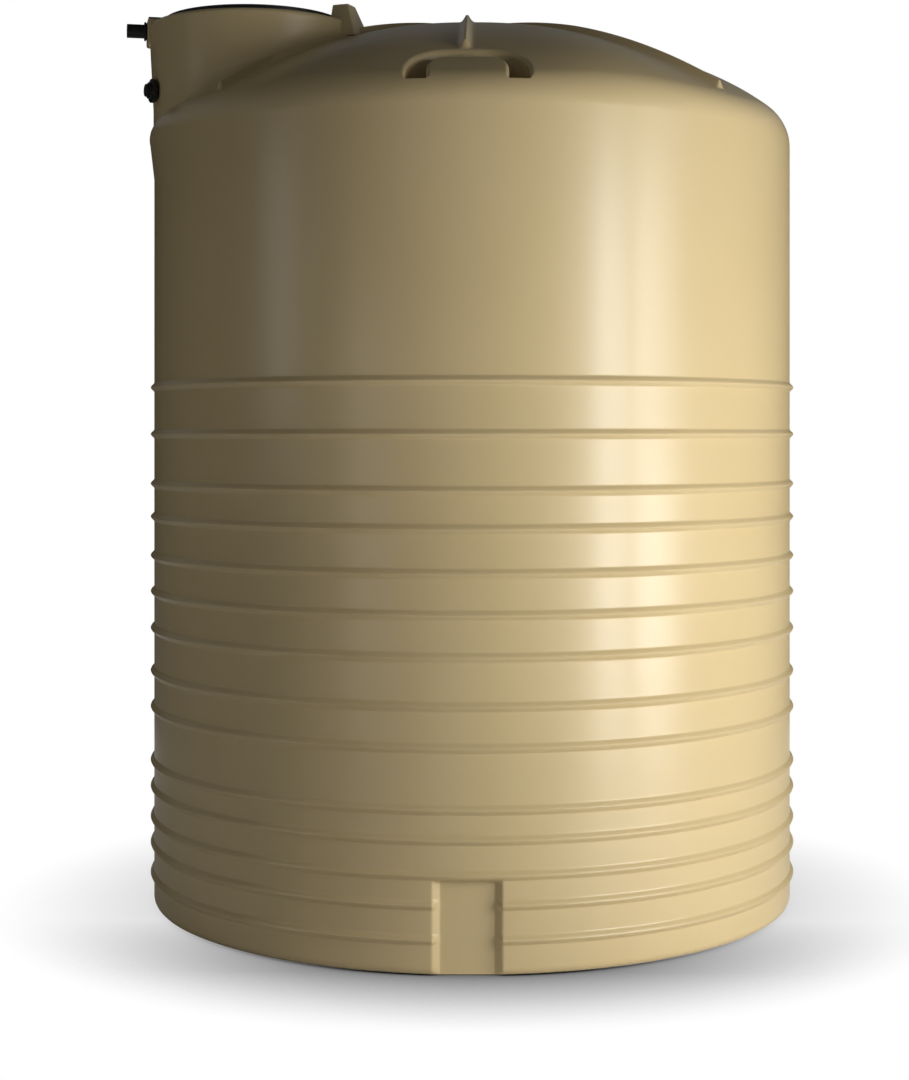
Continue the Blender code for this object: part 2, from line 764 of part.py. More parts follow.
def overflow_nut(plastic):
    """Locknut on the spigot's shank, inside the housing."""
    high = -WALL - SEAT_GAP
    made = hex_nut("overflow_nut", SPIGOT_NUT, SPIGOT_SHANK + SEAT_GAP, high - SPIGOT_NUT_THICK,
                   high)
    on_neck(made, NECK_AZIMUTH, housing_seat(), spigot_height())
    return finish(made, "overflow_nut", plastic)


def fitting_body(plastic):
    """Bulkhead fitting: round flange, hub and threaded shank with a straight bore."""
    back = GASKET_THICK + SEAT_GAP * 2
    front = back + FITTING_FLANGE_THICK
    tail = -WALL - FITTING_NUT_THICK - SEAT_GAP * 2 - THREAD_SPARE
    profile = [
        (FITTING_BORE, FITTING_REACH), (FITTING_HUB - FITTING_EDGE, FITTING_REACH),
        (FITTING_HUB, FITTING_REACH - FITTING_EDGE), (FITTING_HUB, front),
        (FITTING_FLANGE - FITTING_EDGE, front), (FITTING_FLANGE, front - FITTING_EDGE),
        (FITTING_FLANGE, back), (FITTING_SHANK, back), (FITTING_SHANK, tail),
        (FITTING_BORE, tail)]
    made = baked(turned("fitting_body", profile, FITTING_STEPS, closed=True))
    on_neck(made, FITTING_AZIMUTH, fitting_seat(), fitting_height())
    return finish(made, "fitting_body", plastic)


def fitting_gasket(rubber):
    """Flat rubber ring under the bulkhead fitting's flange."""
    made = ring("fitting_gasket", FITTING_FLANGE - GASKET_SETBACK, FITTING_SHANK + SEAT_GAP, SEAT_GAP,
                SEAT_GAP + GASKET_THICK)
    on_neck(made, FITTING_AZIMUTH, fitting_seat(), fitting_height())
    return finish(made, "fitting_gasket", rubber)


def fitting_nut(plastic):
    """Locknut of the bulkhead fitting, inside the neck."""
    high = -WALL - SEAT_GAP
    made = hex_nut("fitting_nut", FITTING_NUT, FITTING_SHANK + SEAT_GAP, high - FITTING_NUT_THICK,
                   high)
    on_neck(made, FITTING_AZIMUTH, fitting_seat(), fitting_height())
    return finish(made, "fitting_nut", plastic)


def fitting_plug(plastic):
    """Hex-headed plug screwed into the bulkhead fitting's bore."""
    seat = FITTING_REACH + SEAT_GAP
    made = rod("fitting_plug", PLUG_HEAD, (0, 0, seat), (0, 0, seat + PLUG_HEAD_THICK), 6)
    join(made, rod("plug_shank", FITTING_BORE - SEAT_GAP, (0, 0, seat - PLUG_DEPTH),
                   (0, 0, seat + PLUG_HEAD_THICK / 2), FITTING_STEPS))
    on_neck(made, FITTING_AZIMUTH, fitting_seat(), fitting_height())
    return finish(made, "fitting_plug", plastic)


def clear_scene():
    """Removes whatever objects the file starts with."""
    for old in list(bpy.data.objects):
        bpy.data.objects.remove(old)


def build():
    """Makes every piece of the tank."""
    clear_scene()
    bpy.context.scene.collection.children.link(PARTS)
    bpy.context.scene.collection.children.link(CUTTERS)
    beige = material("beige_polyethylene", (0.62, 0.50, 0.30), 0.38)
    black = material("black_polypropylene", (0.012, 0.012, 0.011), 0.45)
    rubber = material("black_rubber", (0.02, 0.02, 0.02), 0.8)
    steel = material("stainless_steel", (0.55, 0.55, 0.53), 0.35, 1.0)
    tank_body(beige)
    strainer_frame(black)
    strainer_mesh(steel)
    mesh_clamp_ring(black)
    for number, azimuth in enumerate(screw_places(), 1):
        strainer_screw(number, azimuth, steel)
    overflow_spigot(black)
    overflow_gasket(rubber)
    overflow_nut(black)
    fitting_body(black)
    fitting_gasket(rubber)
    fitting_nut(black)
    fitting_plug(black)


build()
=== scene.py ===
# %% [markdown]
# A rotomoulded rainwater tank
#
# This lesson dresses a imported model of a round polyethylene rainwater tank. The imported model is
# the fixed frame: it says where everything is, in metres, with +Z up and the front facing -Y.
# The shell is one hollow moulding, so it is made here as one fine skin. The black strainer and
# the fittings on its neck are made again with rounder forms than the frame has.

import json
import math

import bpy
import numpy as np
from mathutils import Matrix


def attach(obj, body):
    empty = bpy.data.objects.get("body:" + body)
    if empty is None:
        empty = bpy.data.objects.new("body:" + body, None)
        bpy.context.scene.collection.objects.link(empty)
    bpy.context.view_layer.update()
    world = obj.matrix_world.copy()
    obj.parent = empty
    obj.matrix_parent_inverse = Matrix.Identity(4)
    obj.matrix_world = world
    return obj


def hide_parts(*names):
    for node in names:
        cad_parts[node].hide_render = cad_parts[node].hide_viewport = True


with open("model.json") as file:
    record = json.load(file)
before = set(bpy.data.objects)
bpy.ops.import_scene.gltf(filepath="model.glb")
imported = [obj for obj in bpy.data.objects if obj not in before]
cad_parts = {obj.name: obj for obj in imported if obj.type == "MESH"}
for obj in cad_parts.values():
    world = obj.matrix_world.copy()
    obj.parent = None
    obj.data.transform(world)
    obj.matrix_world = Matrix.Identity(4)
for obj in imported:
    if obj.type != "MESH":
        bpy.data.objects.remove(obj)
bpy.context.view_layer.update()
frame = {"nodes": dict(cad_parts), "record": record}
print("nodes:", sorted(frame["nodes"]))

# %% [markdown]
# Small helpers
#
# A mesh is two arrays: points, and faces that name points. Nearly every form below is a grid of
# points worked out from two parameters, so one function can stitch the faces of any grid. Azimuths
# are turned from the front, positive towards +X, like the hands of a clock seen from below. Where
# two faces meet at more than a given angle, the edge between them stays sharp: EDGE_ANGLE degrees
# on the shell, the strainer and the two fittings, 60 on the thin wires and 40 on the rest.

# %% Meshes from grids
EDGE_ANGLE = 34.0


def new_piece(name, points, faces, smooth=40.0):
    """A mesh object from an array of points and a list of faces; edges over the angle stay sharp."""
    mesh = bpy.data.meshes.new(name)
    mesh.from_pydata(np.asarray(points, float).reshape(-1, 3).tolist(), [], faces)
    mesh.validate()
    mesh.shade_smooth()
    mesh.set_sharp_from_angle(angle=math.radians(smooth))
    piece = bpy.data.objects.new(name, mesh)
    bpy.context.scene.collection.objects.link(piece)
    return piece


def grid_faces(rows, columns, start=0, round_rows=False):
    """Quads of a grid whose columns close into a loop; point (i, j) is start + i * columns + j."""
    last = rows if round_rows else rows - 1
    i, j = np.meshgrid(np.arange(last), np.arange(columns), indexing="ij")
    below = start + i * columns
    above = start + ((i + 1) % rows) * columns
    following = (j + 1) % columns
    quads = np.stack([below + j, below + following, above + following, above + j], axis=-1)
    return quads.reshape(-1, 4).tolist()


def capped_faces(rows, columns):
    """Quads of a closed grid and a fan at each end; the two poles come after the grid's points."""
    faces = grid_faces(rows, columns)
    first, last = rows * columns, (rows - 1) * columns
    faces += [[first, (j + 1) % columns, j] for j in range(columns)]
    faces += [[first + 1, last + j, last + (j + 1) % columns] for j in range(columns)]
    return faces


def place(radius, azimuth, height):
    """Points at a radius and an azimuth in radians: (r sin a, -r cos a, z), for whole arrays."""
    radius, azimuth, height = np.broadcast_arrays(radius, azimuth, height)
    return np.stack([radius * np.sin(azimuth), -radius * np.cos(azimuth), height], axis=-1)


def turned(name, profile, steps, centre):
    """A closed profile of (radius, height) points turned round a vertical axis at centre."""
    azimuth = np.arange(steps) * 2 * np.pi / steps
    points = place(profile[:, :1], azimuth[None, :], profile[:, 1:]) + centre
    return outward(new_piece(name, points, grid_faces(len(profile), steps, round_rows=True)))


def points_of(mesh):
    """All points of a mesh as one array of rows (x, y, z)."""
    points = np.empty(len(mesh.vertices) * 3)
    mesh.vertices.foreach_get("co", points)
    return points.reshape(-1, 3)


def faces_of(mesh, start=0):
    """All faces of a mesh as lists of point numbers, counted from start."""
    return [[start + index for index in face.vertices] for face in mesh.polygons]


def outward(piece):
    """Turns a closed mesh's faces outwards when its signed volume is negative."""
    mesh = piece.data
    mesh.calc_loop_triangles()
    corners = np.empty(len(mesh.loop_triangles) * 3, int)
    mesh.loop_triangles.foreach_get("vertices", corners)
    a, b, c = points_of(mesh)[corners.reshape(-1, 3)].transpose(1, 0, 2)
    if np.einsum("ij,ij->i", a, np.cross(b, c)).sum() < 0.0:
        mesh.flip_normals()
    return piece


def eased(low, high, value):
    """A smooth step from 0 at low to 1 at high: 3t^2 - 2t^3."""
    t = np.clip((value - low) / (high - low), 0.0, 1.0)
    return t * t * (3.0 - 2.0 * t)


# %% [markdown]
# The roof and wall as formulas
#
# The roof is a shallow parabola, so its height falls with the square of the radius. A shoulder of
# constant radius carries it into the upright wall. Seven fins run down the roof, and the roof
# swells a little between them. Each of these is one function of radius and azimuth.

# %% Driving sizes of the shell
WALL_RADIUS = 0.900
WALL = 0.008
CROWN = 2.4605
ROOF_DROP = 0.2935
SHOULDER = 0.098
BASE_CORNER = 0.022
FINS = 7
SECTOR = 2 * math.pi / FINS
SWELL = 0.018
FIN_HEIGHT = 0.0205
FIN_END = 0.836
HUB = 0.050
BEADS = (1.439, 1.309, 1.171, 1.079, 0.971, 0.871, 0.769, 0.650, 0.550, 0.401, 0.328, 0.243,
         0.171, 0.087)
BEAD_PROUD = 0.010
BEAD_HALF = 0.0135


def roof_height(radius):
    """Plain roof: crown height less the drop times (r / R) squared."""
    return CROWN - ROOF_DROP * (radius / WALL_RADIUS) ** 2


def swell(radius, azimuth):
    """Extra height between fins: SWELL times (1 - cos 7a) / 2 times sin(pi (r / R)^3.5)."""
    share = np.clip(radius / WALL_RADIUS, 0.0, 1.0)
    return SWELL * (1.0 - np.cos(FINS * azimuth)) / 2 * np.sin(np.pi * share ** 3.5)


def shoulder_start():
    """Radius, height and tilt of the point where the roof runs into the shoulder's arc."""
    centre = WALL_RADIUS - SHOULDER
    tilt = 0.5
    for _ in range(12):
        meet = centre + SHOULDER * math.sin(tilt)
        tilt = math.atan(2 * ROOF_DROP * meet / WALL_RADIUS ** 2)
    return meet, roof_height(meet) - SHOULDER * math.cos(tilt), tilt


MEET, SHOULDER_HEIGHT, MEET_TILT = shoulder_start()
print(f"shoulder begins at r = {MEET:.4f} m and ends at z = {SHOULDER_HEIGHT:.4f} m")


# %% [markdown]
# Fins and hub
#
# A fin is a narrow crest with hollow flanks, moulded into the roof. Its height depends on the
# sideways distance from its centre line. It grows from the hub outwards and stops short at a
# blunt end, with a low foot in front of it. The front fin stops at the edge of the lifting groove
# and stands 9 mm to the left of the others' even spacing, as on the real tank.

# %% Fin height
FRONT_FIN_END = 0.712
FRONT_FIN_SHIFT = -0.009
FIN_CREST_HALF = 0.0035
FIN_FLANK = 0.0175
FLANK_POWER = 1.9
FULL_FIN_RADIUS = 0.36
NOSE_BEFORE, NOSE_AFTER = 0.006, 0.004
FOOT_SHARE, FOOT_LENGTH = 0.18, 0.006
HUB_RISE = FIN_HEIGHT * 0.66


def fin_height(radius, azimuth):
    """Height over the roof: growth along a fin times (1 - share of its flank)^1.9, or the hub's."""
    turn = (azimuth + SECTOR / 2) % SECTOR - SECTOR / 2
    number = np.round(azimuth / SECTOR).astype(int) % FINS
    set_over = np.where(number == 0, FRONT_FIN_SHIFT, 0.0)
    across = np.abs(radius * np.sin(turn) - set_over)
    along = radius * np.cos(turn)
    end = np.where(number == 0, FRONT_FIN_END, FIN_END)
    growth = 0.65 + 0.35 * np.clip(radius / FULL_FIN_RADIUS, 0.0, 1.0)
    nose = 1.0 - eased(end - NOSE_BEFORE, end + NOSE_AFTER, along)
    foot = FOOT_SHARE * np.exp(-np.clip(along - end, 0.0, None) / FOOT_LENGTH)
    length = np.clip(nose + foot * (along > end - NOSE_BEFORE), 0.0, 1.0)
    flank = np.clip((across - FIN_CREST_HALF) / FIN_FLANK, 0.0, 1.0)
    fin = FIN_HEIGHT * growth * (1.0 - flank) ** FLANK_POWER * length
    hub = HUB_RISE * (1.0 - eased(HUB - 0.003, HUB + 0.004, radius))
    return np.maximum(fin, hub)


# %% [markdown]
# Rows and columns of the shell's grid
#
# The grid's rows follow the profile from the middle of the underside, up the wall and over the
# roof to the crown. Each hoop bead needs about ten rows, and the plain wall few. The columns
# run close together along each fin. Down the wall they shift to gather at the outlet panel's
# two edges instead, so both kinds of edge fall on grid lines and stay crisp. Over the roof, rows
# gather where a fin ends and where the hub begins.

# %% Grid columns
HALF_COLUMNS = 20
FIN_SHARE = 0.62
WALL_SPACING_TOP, ROOF_SPACING_FOOT = 1.50, 2.05
FIN_OFFSETS = np.array([0.0, 0.0025, 0.0045, 0.0065, 0.009, 0.012, 0.0155, 0.0195, 0.026])
PANEL_OFFSETS = np.array([0.0, 0.024, 0.046, 0.060, 0.065, 0.0675, 0.070, 0.0735, 0.077, 0.081,
                          0.0845, 0.088, 0.093, 0.102, 0.120, 0.150, 0.190, 0.238, 0.290, 0.345])


def fin_columns(radius):
    """Azimuths of one half sector on the roof: parallel to the fin near it, then evenly spread."""
    near = len(FIN_OFFSETS)
    limit = SECTOR / 2 * FIN_SHARE
    wanted = np.arcsin(np.clip(FIN_OFFSETS[None, :] / np.maximum(radius, 1e-4)[:, None], 0.0, 1.0))
    shared = limit * FIN_OFFSETS[None, :] / FIN_OFFSETS[-1]
    close = np.minimum(wanted, shared)
    share = np.arange(1, HALF_COLUMNS - near + 2) / (HALF_COLUMNS - near + 1)
    rest = close[:, -1:] + (SECTOR / 2 - close[:, -1:]) * share[None, :]
    return np.concatenate([close, rest], axis=1)


def whole_turn(half, front=None):
    """Mirrors a half sector and repeats it round the tank; the front sector may differ."""
    both = np.concatenate([-half[:, :0:-1], half[:, :-1]], axis=1)
    turns = [both + SECTOR * number for number in range(FINS)]
    if front is not None:
        turns[0] = np.concatenate([-front[:, :0:-1], front[:, :-1]], axis=1)
    return np.concatenate(turns, axis=1)


def column_azimuths(radius, height):
    """Azimuth of every grid point: wall spacing low down, fin spacing on the roof."""
    even = np.linspace(0.0, SECTOR / 2, HALF_COLUMNS + 1)[None, :]
    front = np.append(PANEL_OFFSETS / WALL_RADIUS, SECTOR / 2)[None, :]
    wall = whole_turn(even, front)
    roof = whole_turn(fin_columns(radius))
    near_front = np.clip(1.0 - (np.abs(roof) / (SECTOR / 2)) ** 2, 0.0, 1.0)
    roof = roof + FRONT_FIN_SHIFT / np.maximum(radius, 0.08)[:, None] * near_front
    share = eased(WALL_SPACING_TOP, ROOF_SPACING_FOOT, height)[:, None]
    return wall * (1.0 - share) + roof * share


# %% Grid rows
PANEL_HALF = 0.067
PANEL_RAMP = 0.0185
PANEL_TOP = 0.226
PANEL_FACE = 0.881


def profile_rows():
    """Radius and height of every row, bottom to top, without the two poles."""
    base = [(r, 0.0) for r in (0.25, 0.50, 0.70, 0.82, 0.878)]
    tilt = np.linspace(0.0, np.pi / 2, 6)[1:]
    corner = WALL_RADIUS - BASE_CORNER
    base += list(zip(corner + BASE_CORNER * np.sin(tilt), BASE_CORNER * (1.0 - np.cos(tilt))))
    steps = np.array([-0.0150, -0.0125, -0.0100, -0.0070, -0.0040, 0.0, 0.0040, 0.0070, 0.0100,
                      0.0125, 0.0150])
    levels = np.concatenate([height + steps for height in BEADS])
    plain = np.concatenate([np.arange(0.05, 1.46, 0.050), np.arange(1.50, 2.08, 0.058),
                            PANEL_TOP + np.array([-0.010, -0.006, -0.003, 0.0, 0.003, 0.006])])
    gap = np.abs(plain[:, None] - levels[None, :]).min(axis=1)
    levels = np.sort(np.concatenate([levels, plain[gap > 0.002]]))
    wall = [(WALL_RADIUS, height) for height in levels]
    arc = np.linspace(np.pi / 2, MEET_TILT, 14)
    shoulder = list(zip(WALL_RADIUS - SHOULDER + SHOULDER * np.sin(arc),
                        SHOULDER_HEIGHT + SHOULDER * np.cos(arc)))
    by_fin_end = np.array([0.0075, 0.0055, 0.0035, 0.0015, -0.0005, -0.0025, -0.0045, -0.007, -0.012])
    by_front_end = np.array([0.010, 0.0065, 0.0035, 0.001, -0.0015, -0.004, -0.007, -0.012])
    by_hub = np.array([0.018, 0.010, 0.0045, 0.002, 0.0, -0.002, -0.006, -0.020, -0.036])
    radii = np.concatenate([FIN_END + by_fin_end, np.arange(0.805, 0.725, -0.020),
                            FRONT_FIN_END + by_front_end, np.arange(0.680, 0.075, -0.024),
                            HUB + by_hub])
    roof = [(radius, roof_height(radius)) for radius in radii]
    return np.array(base + wall + shoulder + roof)


ROWS = profile_rows()
print(f"shell grid: {len(ROWS)} rows, {2 * HALF_COLUMNS * FINS} columns")


# %% [markdown]
# Beads, outlet panel and the bulge under the neck
#
# A bead pushes the wall outwards by a rounded amount. The outlet panel is a flat, so within it
# the points move to one plane, and a drafted strip on each side carries it back to the wall. The
# beads end in that strip in small rounded bumps. Below the neck the wall bulges a little.

# %% Wall forms
NECK_AZIMUTH = -1.5 * SECTOR
NECK_OFFSET = 0.624
NECK_CENTRE = place(NECK_OFFSET, NECK_AZIMUTH, 0.0)
BULGE = 0.016
BULGE_HEIGHT, BULGE_TURN, BULGE_TALL = 2.148, 0.26, 0.060
PANEL_HEAD = 0.006
WALL_END, ROOF_START = 1.6, 2.0


def bead_rise(height):
    """Outward push: a raised cosine over each bead's half height, to the power 0.85."""
    nearest = np.min(np.abs(height[..., None] - np.array(BEADS)), axis=-1)
    share = np.clip(nearest / BEAD_HALF, 0.0, 1.0)
    return BEAD_PROUD * (0.5 + 0.5 * np.cos(np.pi * share)) ** 0.85


def neck_bulge(azimuth, height):
    """Soft bulge of the wall below the neck: a bell in azimuth and in height."""
    turn = (azimuth - NECK_AZIMUTH + np.pi) % (2 * np.pi) - np.pi
    return BULGE * np.exp(-(turn / BULGE_TURN) ** 2 - ((height - BULGE_HEIGHT) / BULGE_TALL) ** 2)


def shell_points():
    """All grid points: profile, pushed out by beads and bulge, raised by swell and fins."""
    radius, height = ROWS[:, :1], ROWS[:, 1:]
    azimuth = column_azimuths(ROWS[:, 0], ROWS[:, 1])
    radius, height = np.broadcast_to(radius, azimuth.shape), np.broadcast_to(height, azimuth.shape)
    on_wall = (radius > WALL_RADIUS - 1e-6) & (height < WALL_END)
    pushed = radius + np.where(on_wall, bead_rise(height), 0.0) + neck_bulge(azimuth, height)
    raised = height + np.where(height > SHOULDER_HEIGHT, swell(radius, azimuth), 0.0)
    on_roof = (radius < MEET) & (height > ROOF_START)
    raised = raised + np.where(on_roof, fin_height(radius, azimuth), 0.0)
    points = place(pushed, azimuth, raised)
    x, y = points[..., 0], points[..., 1]
    low = (height < PANEL_TOP + 0.02) & (radius > 0.80) & (y < 0.0)
    side = 1.0 - np.clip((np.abs(x) - PANEL_HALF) / PANEL_RAMP, 0.0, 1.0)
    head = 1.0 - np.clip((height - PANEL_TOP) / PANEL_HEAD, 0.0, 1.0)
    sunk = np.where(low, side * head, 0.0)
    flat = -np.minimum(PANEL_FACE, -y)
    points[..., 1] = y * (1.0 - sunk) + flat * sunk
    return points


grid = shell_points()
poles = np.array([[0.0, 0.0, 0.0], [0.0, 0.0, CROWN + HUB_RISE]])
shell = outward(new_piece("tank_shell", np.vstack([grid.reshape(-1, 3), poles]),
                          capped_faces(*grid.shape[:2]), EDGE_ANGLE))
print(f"plain shell: {len(shell.data.polygons)} faces")


# %% [markdown]
# The neck
#
# The neck is a short tube that stands on the roof's edge and leans out a little towards its rim.
# A soft fillet carries it into the roof, so its foot depends on the roof's height below each
# point. On the outer side there is no roof to stand on, and it draws in and fades into the
# shoulder. Its rows begin in the bore of the mouth. It is fused with the shell, as it is on the
# real moulding.

# %% Neck sizes
RIM = 2.4435
RIM_RADIUS = 0.291
FOOT_RADIUS = 0.279
RIM_EDGE = 0.012
MOUTH = 0.220
MOUTH_DEPTH = 0.018
LEAN_END = 2.205
FILLET_LEAST, FILLET_MOST = 0.004, 0.045
FADE_START, FADE_END = 0.80, 0.885
NECK_FOOT = 2.10
NECK_COLUMNS = 144


# %% Neck rows
def surface_height(x, y):
    """Roof and shoulder height at plan points, with the swell; a low level beyond the wall."""
    radius = np.hypot(x, y)
    azimuth = np.arctan2(x, -y)
    roof = roof_height(radius)
    reach = np.clip(radius - (WALL_RADIUS - SHOULDER), 0.0, SHOULDER)
    arc = SHOULDER_HEIGHT + np.sqrt(SHOULDER ** 2 - reach ** 2)
    return np.where(radius < MEET, roof, arc) + swell(radius, azimuth)


def neck_points():
    """Rows down the neck: mouth, rim, rounded edge, leaning wall, fillet on the roof, plunge."""
    azimuth = np.arange(NECK_COLUMNS) * 2 * np.pi / NECK_COLUMNS
    foot = NECK_CENTRE + place(FOOT_RADIUS, azimuth, 0.0)
    roof = surface_height(foot[:, 0], foot[:, 1])
    reach = np.hypot(foot[:, 0], foot[:, 1])
    on_roof = 1.0 - eased(FADE_START, FADE_END, reach)
    fillet = np.clip(RIM - RIM_EDGE - 0.002 - roof, FILLET_LEAST, FILLET_MOST) * on_roof + 0.0015
    even = np.ones(NECK_COLUMNS)
    rows = [(even * MOUTH, even * (RIM - MOUTH_DEPTH)), (even * MOUTH, even * RIM),
            (even * (RIM_RADIUS - RIM_EDGE - 0.02), even * RIM)]
    for tilt in np.linspace(0.0, np.pi / 2, 7):
        rows.append((even * (RIM_RADIUS - RIM_EDGE + RIM_EDGE * math.sin(tilt)),
                     even * (RIM - RIM_EDGE + RIM_EDGE * math.cos(tilt))))
    top = np.minimum(roof + fillet, RIM - RIM_EDGE - 0.001)
    for share in np.linspace(0.15, 1.0, 7):
        height = (RIM - RIM_EDGE) * (1.0 - share) + top * share
        lean = (RIM - height) / (RIM - LEAN_END)
        rows.append((RIM_RADIUS + (FOOT_RADIUS - RIM_RADIUS) * np.clip(lean, 0.0, 1.0), height))
    wall_foot = rows[-1][0]
    for tilt in np.linspace(0.0, np.radians(82.0), 9)[1:]:
        out = wall_foot + fillet * (1.0 - math.cos(tilt))
        spot = NECK_CENTRE + place(out, azimuth, 0.0)
        down = fillet * (1.0 - math.sin(tilt)) * on_roof
        height = np.where(on_roof > 0.0, surface_height(spot[:, 0], spot[:, 1]), roof) + down
        rows.append((out, np.minimum(height, top)))
    rows.append((rows[-1][0] - 0.004, rows[-1][1] - 0.012))
    rows.append((rows[-1][0] - 0.030, np.minimum(rows[-1][1] - 0.040, NECK_FOOT + 0.04)))
    radius, height = np.array(rows).transpose(1, 0, 2)
    return NECK_CENTRE + place(radius, azimuth[None, :], height)


neck_grid = neck_points()
poles = NECK_CENTRE + np.array([[0.0, 0.0, RIM - MOUTH_DEPTH], [0.0, 0.0, NECK_FOOT]])
neck = outward(new_piece("neck_form", np.vstack([neck_grid.reshape(-1, 3), poles]),
                         capped_faces(*neck_grid.shape[:2])))
print(f"neck: {len(neck.data.polygons)} faces")


# %% [markdown]
# Cutting and fusing
#
# Blender's exact Boolean joins closed meshes. It is used for the joins that the real mould has:
# the neck grows out of the roof, and the horseshoe groove is sunk into its front edge. The neck
# carries an upright ear and, on its outer side, the housing that the overflow pipe leaves.

# %% Boolean and bevel helpers
def apply_modifiers(piece):
    """Replaces a piece's mesh by the one that its modifiers give."""
    bpy.context.view_layer.update()
    graph = bpy.context.evaluated_depsgraph_get()
    mesh = bpy.data.meshes.new_from_object(piece.evaluated_get(graph))
    piece.modifiers.clear()
    piece.data = mesh


def combine(piece, other, operation):
    """Applies one exact Boolean and removes the second object."""
    step = piece.modifiers.new("join", "BOOLEAN")
    step.operation = operation
    step.solver = "EXACT"
    step.object = other
    apply_modifiers(piece)
    bpy.data.objects.remove(other)
    print(f"{operation.lower()}: {len(piece.data.polygons)} faces")


BOX_FACES = [[0, 3, 2, 1], [4, 5, 6, 7], [0, 1, 5, 4], [1, 2, 6, 5], [2, 3, 7, 6], [3, 0, 4, 7]]


def neck_block(name, azimuth, half, near, far, low, high, draft=0.0, round_edge=0.006):
    """A block on the neck, drafted towards its foot, with its edges rounded by a bevel."""
    out = place(1.0, azimuth, 0.0)
    side = np.array([math.cos(azimuth), math.sin(azimuth), 0.0])
    height = np.repeat([low, high], 4)[:, None]
    spread = np.repeat([draft, 0.0], 4)[:, None]
    across = np.tile([-1.0, 1.0, 1.0, -1.0], 2)[:, None] * (half + spread)
    reach = np.tile([near, near, far, far], 2)[:, None] + spread * np.tile([0, 0, 1, 1], 2)[:, None]
    points = NECK_CENTRE + side * across + out * reach + np.array([0.0, 0.0, 1.0]) * height
    block = outward(new_piece(name, points, BOX_FACES))
    bevel = block.modifiers.new("round", "BEVEL")
    bevel.width = round_edge
    bevel.segments = 4
    bevel.limit_method = "NONE"
    apply_modifiers(block)
    return block


# %% Ear and housing
EAR_AZIMUTH = math.radians(70.0)
EAR_HALF, EAR_NEAR, EAR_FAR = 0.024, 0.2515, 0.299
EAR_FOOT, EAR_TOP = RIM - 0.05, 2.488
EAR_DRAFT, EAR_EDGE = 0.034, 0.004
HOUSING_HALF, HOUSING_NEAR, HOUSING_REACH = 0.040, 0.256, 0.297
HOUSING_FOOT, HOUSING_TOP = 2.3838, 2.455
ear = neck_block("ear", EAR_AZIMUTH, EAR_HALF, EAR_NEAR, EAR_FAR, EAR_FOOT, EAR_TOP, EAR_DRAFT,
                 EAR_EDGE)
housing = neck_block("housing", NECK_AZIMUTH, HOUSING_HALF, HOUSING_NEAR, HOUSING_REACH,
                     HOUSING_FOOT, HOUSING_TOP)
combine(neck, ear, "UNION")
combine(neck, housing, "UNION")
combine(shell, neck, "UNION")


# %% [markdown]
# The lifting groove
#
# A sling lies in this horseshoe groove when the tank is stood up. The cutter is a band carried
# along the horseshoe's path. Its section has a flat floor, two upright walls and a flare at the
# top that follows the roof, which leaves the rim rounded as a moulded edge is.

# %% Groove cutter
GROOVE_HALF = 0.153
GROOVE_BACK = 0.728
GROOVE_CORNER = 0.115
TONGUE_HALF = 0.101
TONGUE_BACK = 0.766
TONGUE_CORNER = 0.060
GROOVE_FLOOR = 2.172
RIM_ROUND = 0.010


def horseshoe(half, back, corner, front=1.02, sides=14, turn=14):
    """Plan points of a horseshoe: up one side, round two corners and down the other."""
    side_y = np.linspace(-front, -(back + corner), sides)
    arc = np.linspace(0.0, np.pi / 2, turn)[1:]
    right = np.stack([np.full(sides, half), side_y], axis=1)
    bend = np.stack([half - corner + corner * np.cos(arc), -(back + corner) + corner * np.sin(arc)],
                    axis=1)
    across = np.linspace(half - corner, 0.0, 7)[1:]
    top = np.stack([across, np.full(6, -back)], axis=1)
    right = np.vstack([right, bend, top])
    left = right[-2::-1] * np.array([-1.0, 1.0])
    return np.vstack([right, left])


def groove_cutter(grow=0.0):
    """A closed band: section points by row, the horseshoe's stations by column."""
    outer = (1.0, GROOVE_HALF + grow, GROOVE_BACK - grow, GROOVE_CORNER + grow)
    tongue = (-1.0, TONGUE_HALF - grow, TONGUE_BACK + grow, TONGUE_CORNER - grow)
    walls = []
    for sign, half, back, corner in (outer, tongue):
        rings = []
        for tilt in np.linspace(0.0, np.pi / 2, 7):
            spread = sign * RIM_ROUND * (1.0 - math.sin(tilt))
            plan = horseshoe(half + spread, back - spread, corner + spread)
            depth = RIM_ROUND * (1.0 - math.cos(tilt))
            level = surface_height(plan[:, 0], plan[:, 1]) - depth
            rings.append(np.column_stack([plan, np.maximum(level, GROOVE_FLOOR)]))
        floor_plan = horseshoe(half, back, corner)
        rings.append(np.column_stack([floor_plan, np.full(len(floor_plan), GROOVE_FLOOR - grow)]))
        lid = rings[0].copy()
        lid[:, 2] = CROWN + 0.10
        walls.append([lid] + rings)
    points = np.array(walls[0] + walls[1][::-1])
    count, stations = points.shape[:2]
    i, j = np.meshgrid(np.arange(count), np.arange(stations - 1), indexing="ij")
    following = ((i + 1) % count) * stations
    quads = np.stack([i * stations + j, i * stations + j + 1, following + j + 1, following + j],
                     axis=-1).reshape(-1, 4).tolist()
    ends = [[k * stations for k in range(count)],
            [k * stations + stations - 1 for k in range(count)][::-1]]
    return outward(new_piece("groove_cutter", points, quads + ends))


combine(shell, groove_cutter(), "DIFFERENCE")


# %% [markdown]
# Hollowing
#
# The shell is hollow, and the strainer's mesh lets the eye into it. A plain liner form is taken
# out of it: the inside of the wall, the roof and the neck. It meets the bore of the mouth from
# below, and that opens the neck. It stays a wall's thickness away from the panel and the groove.

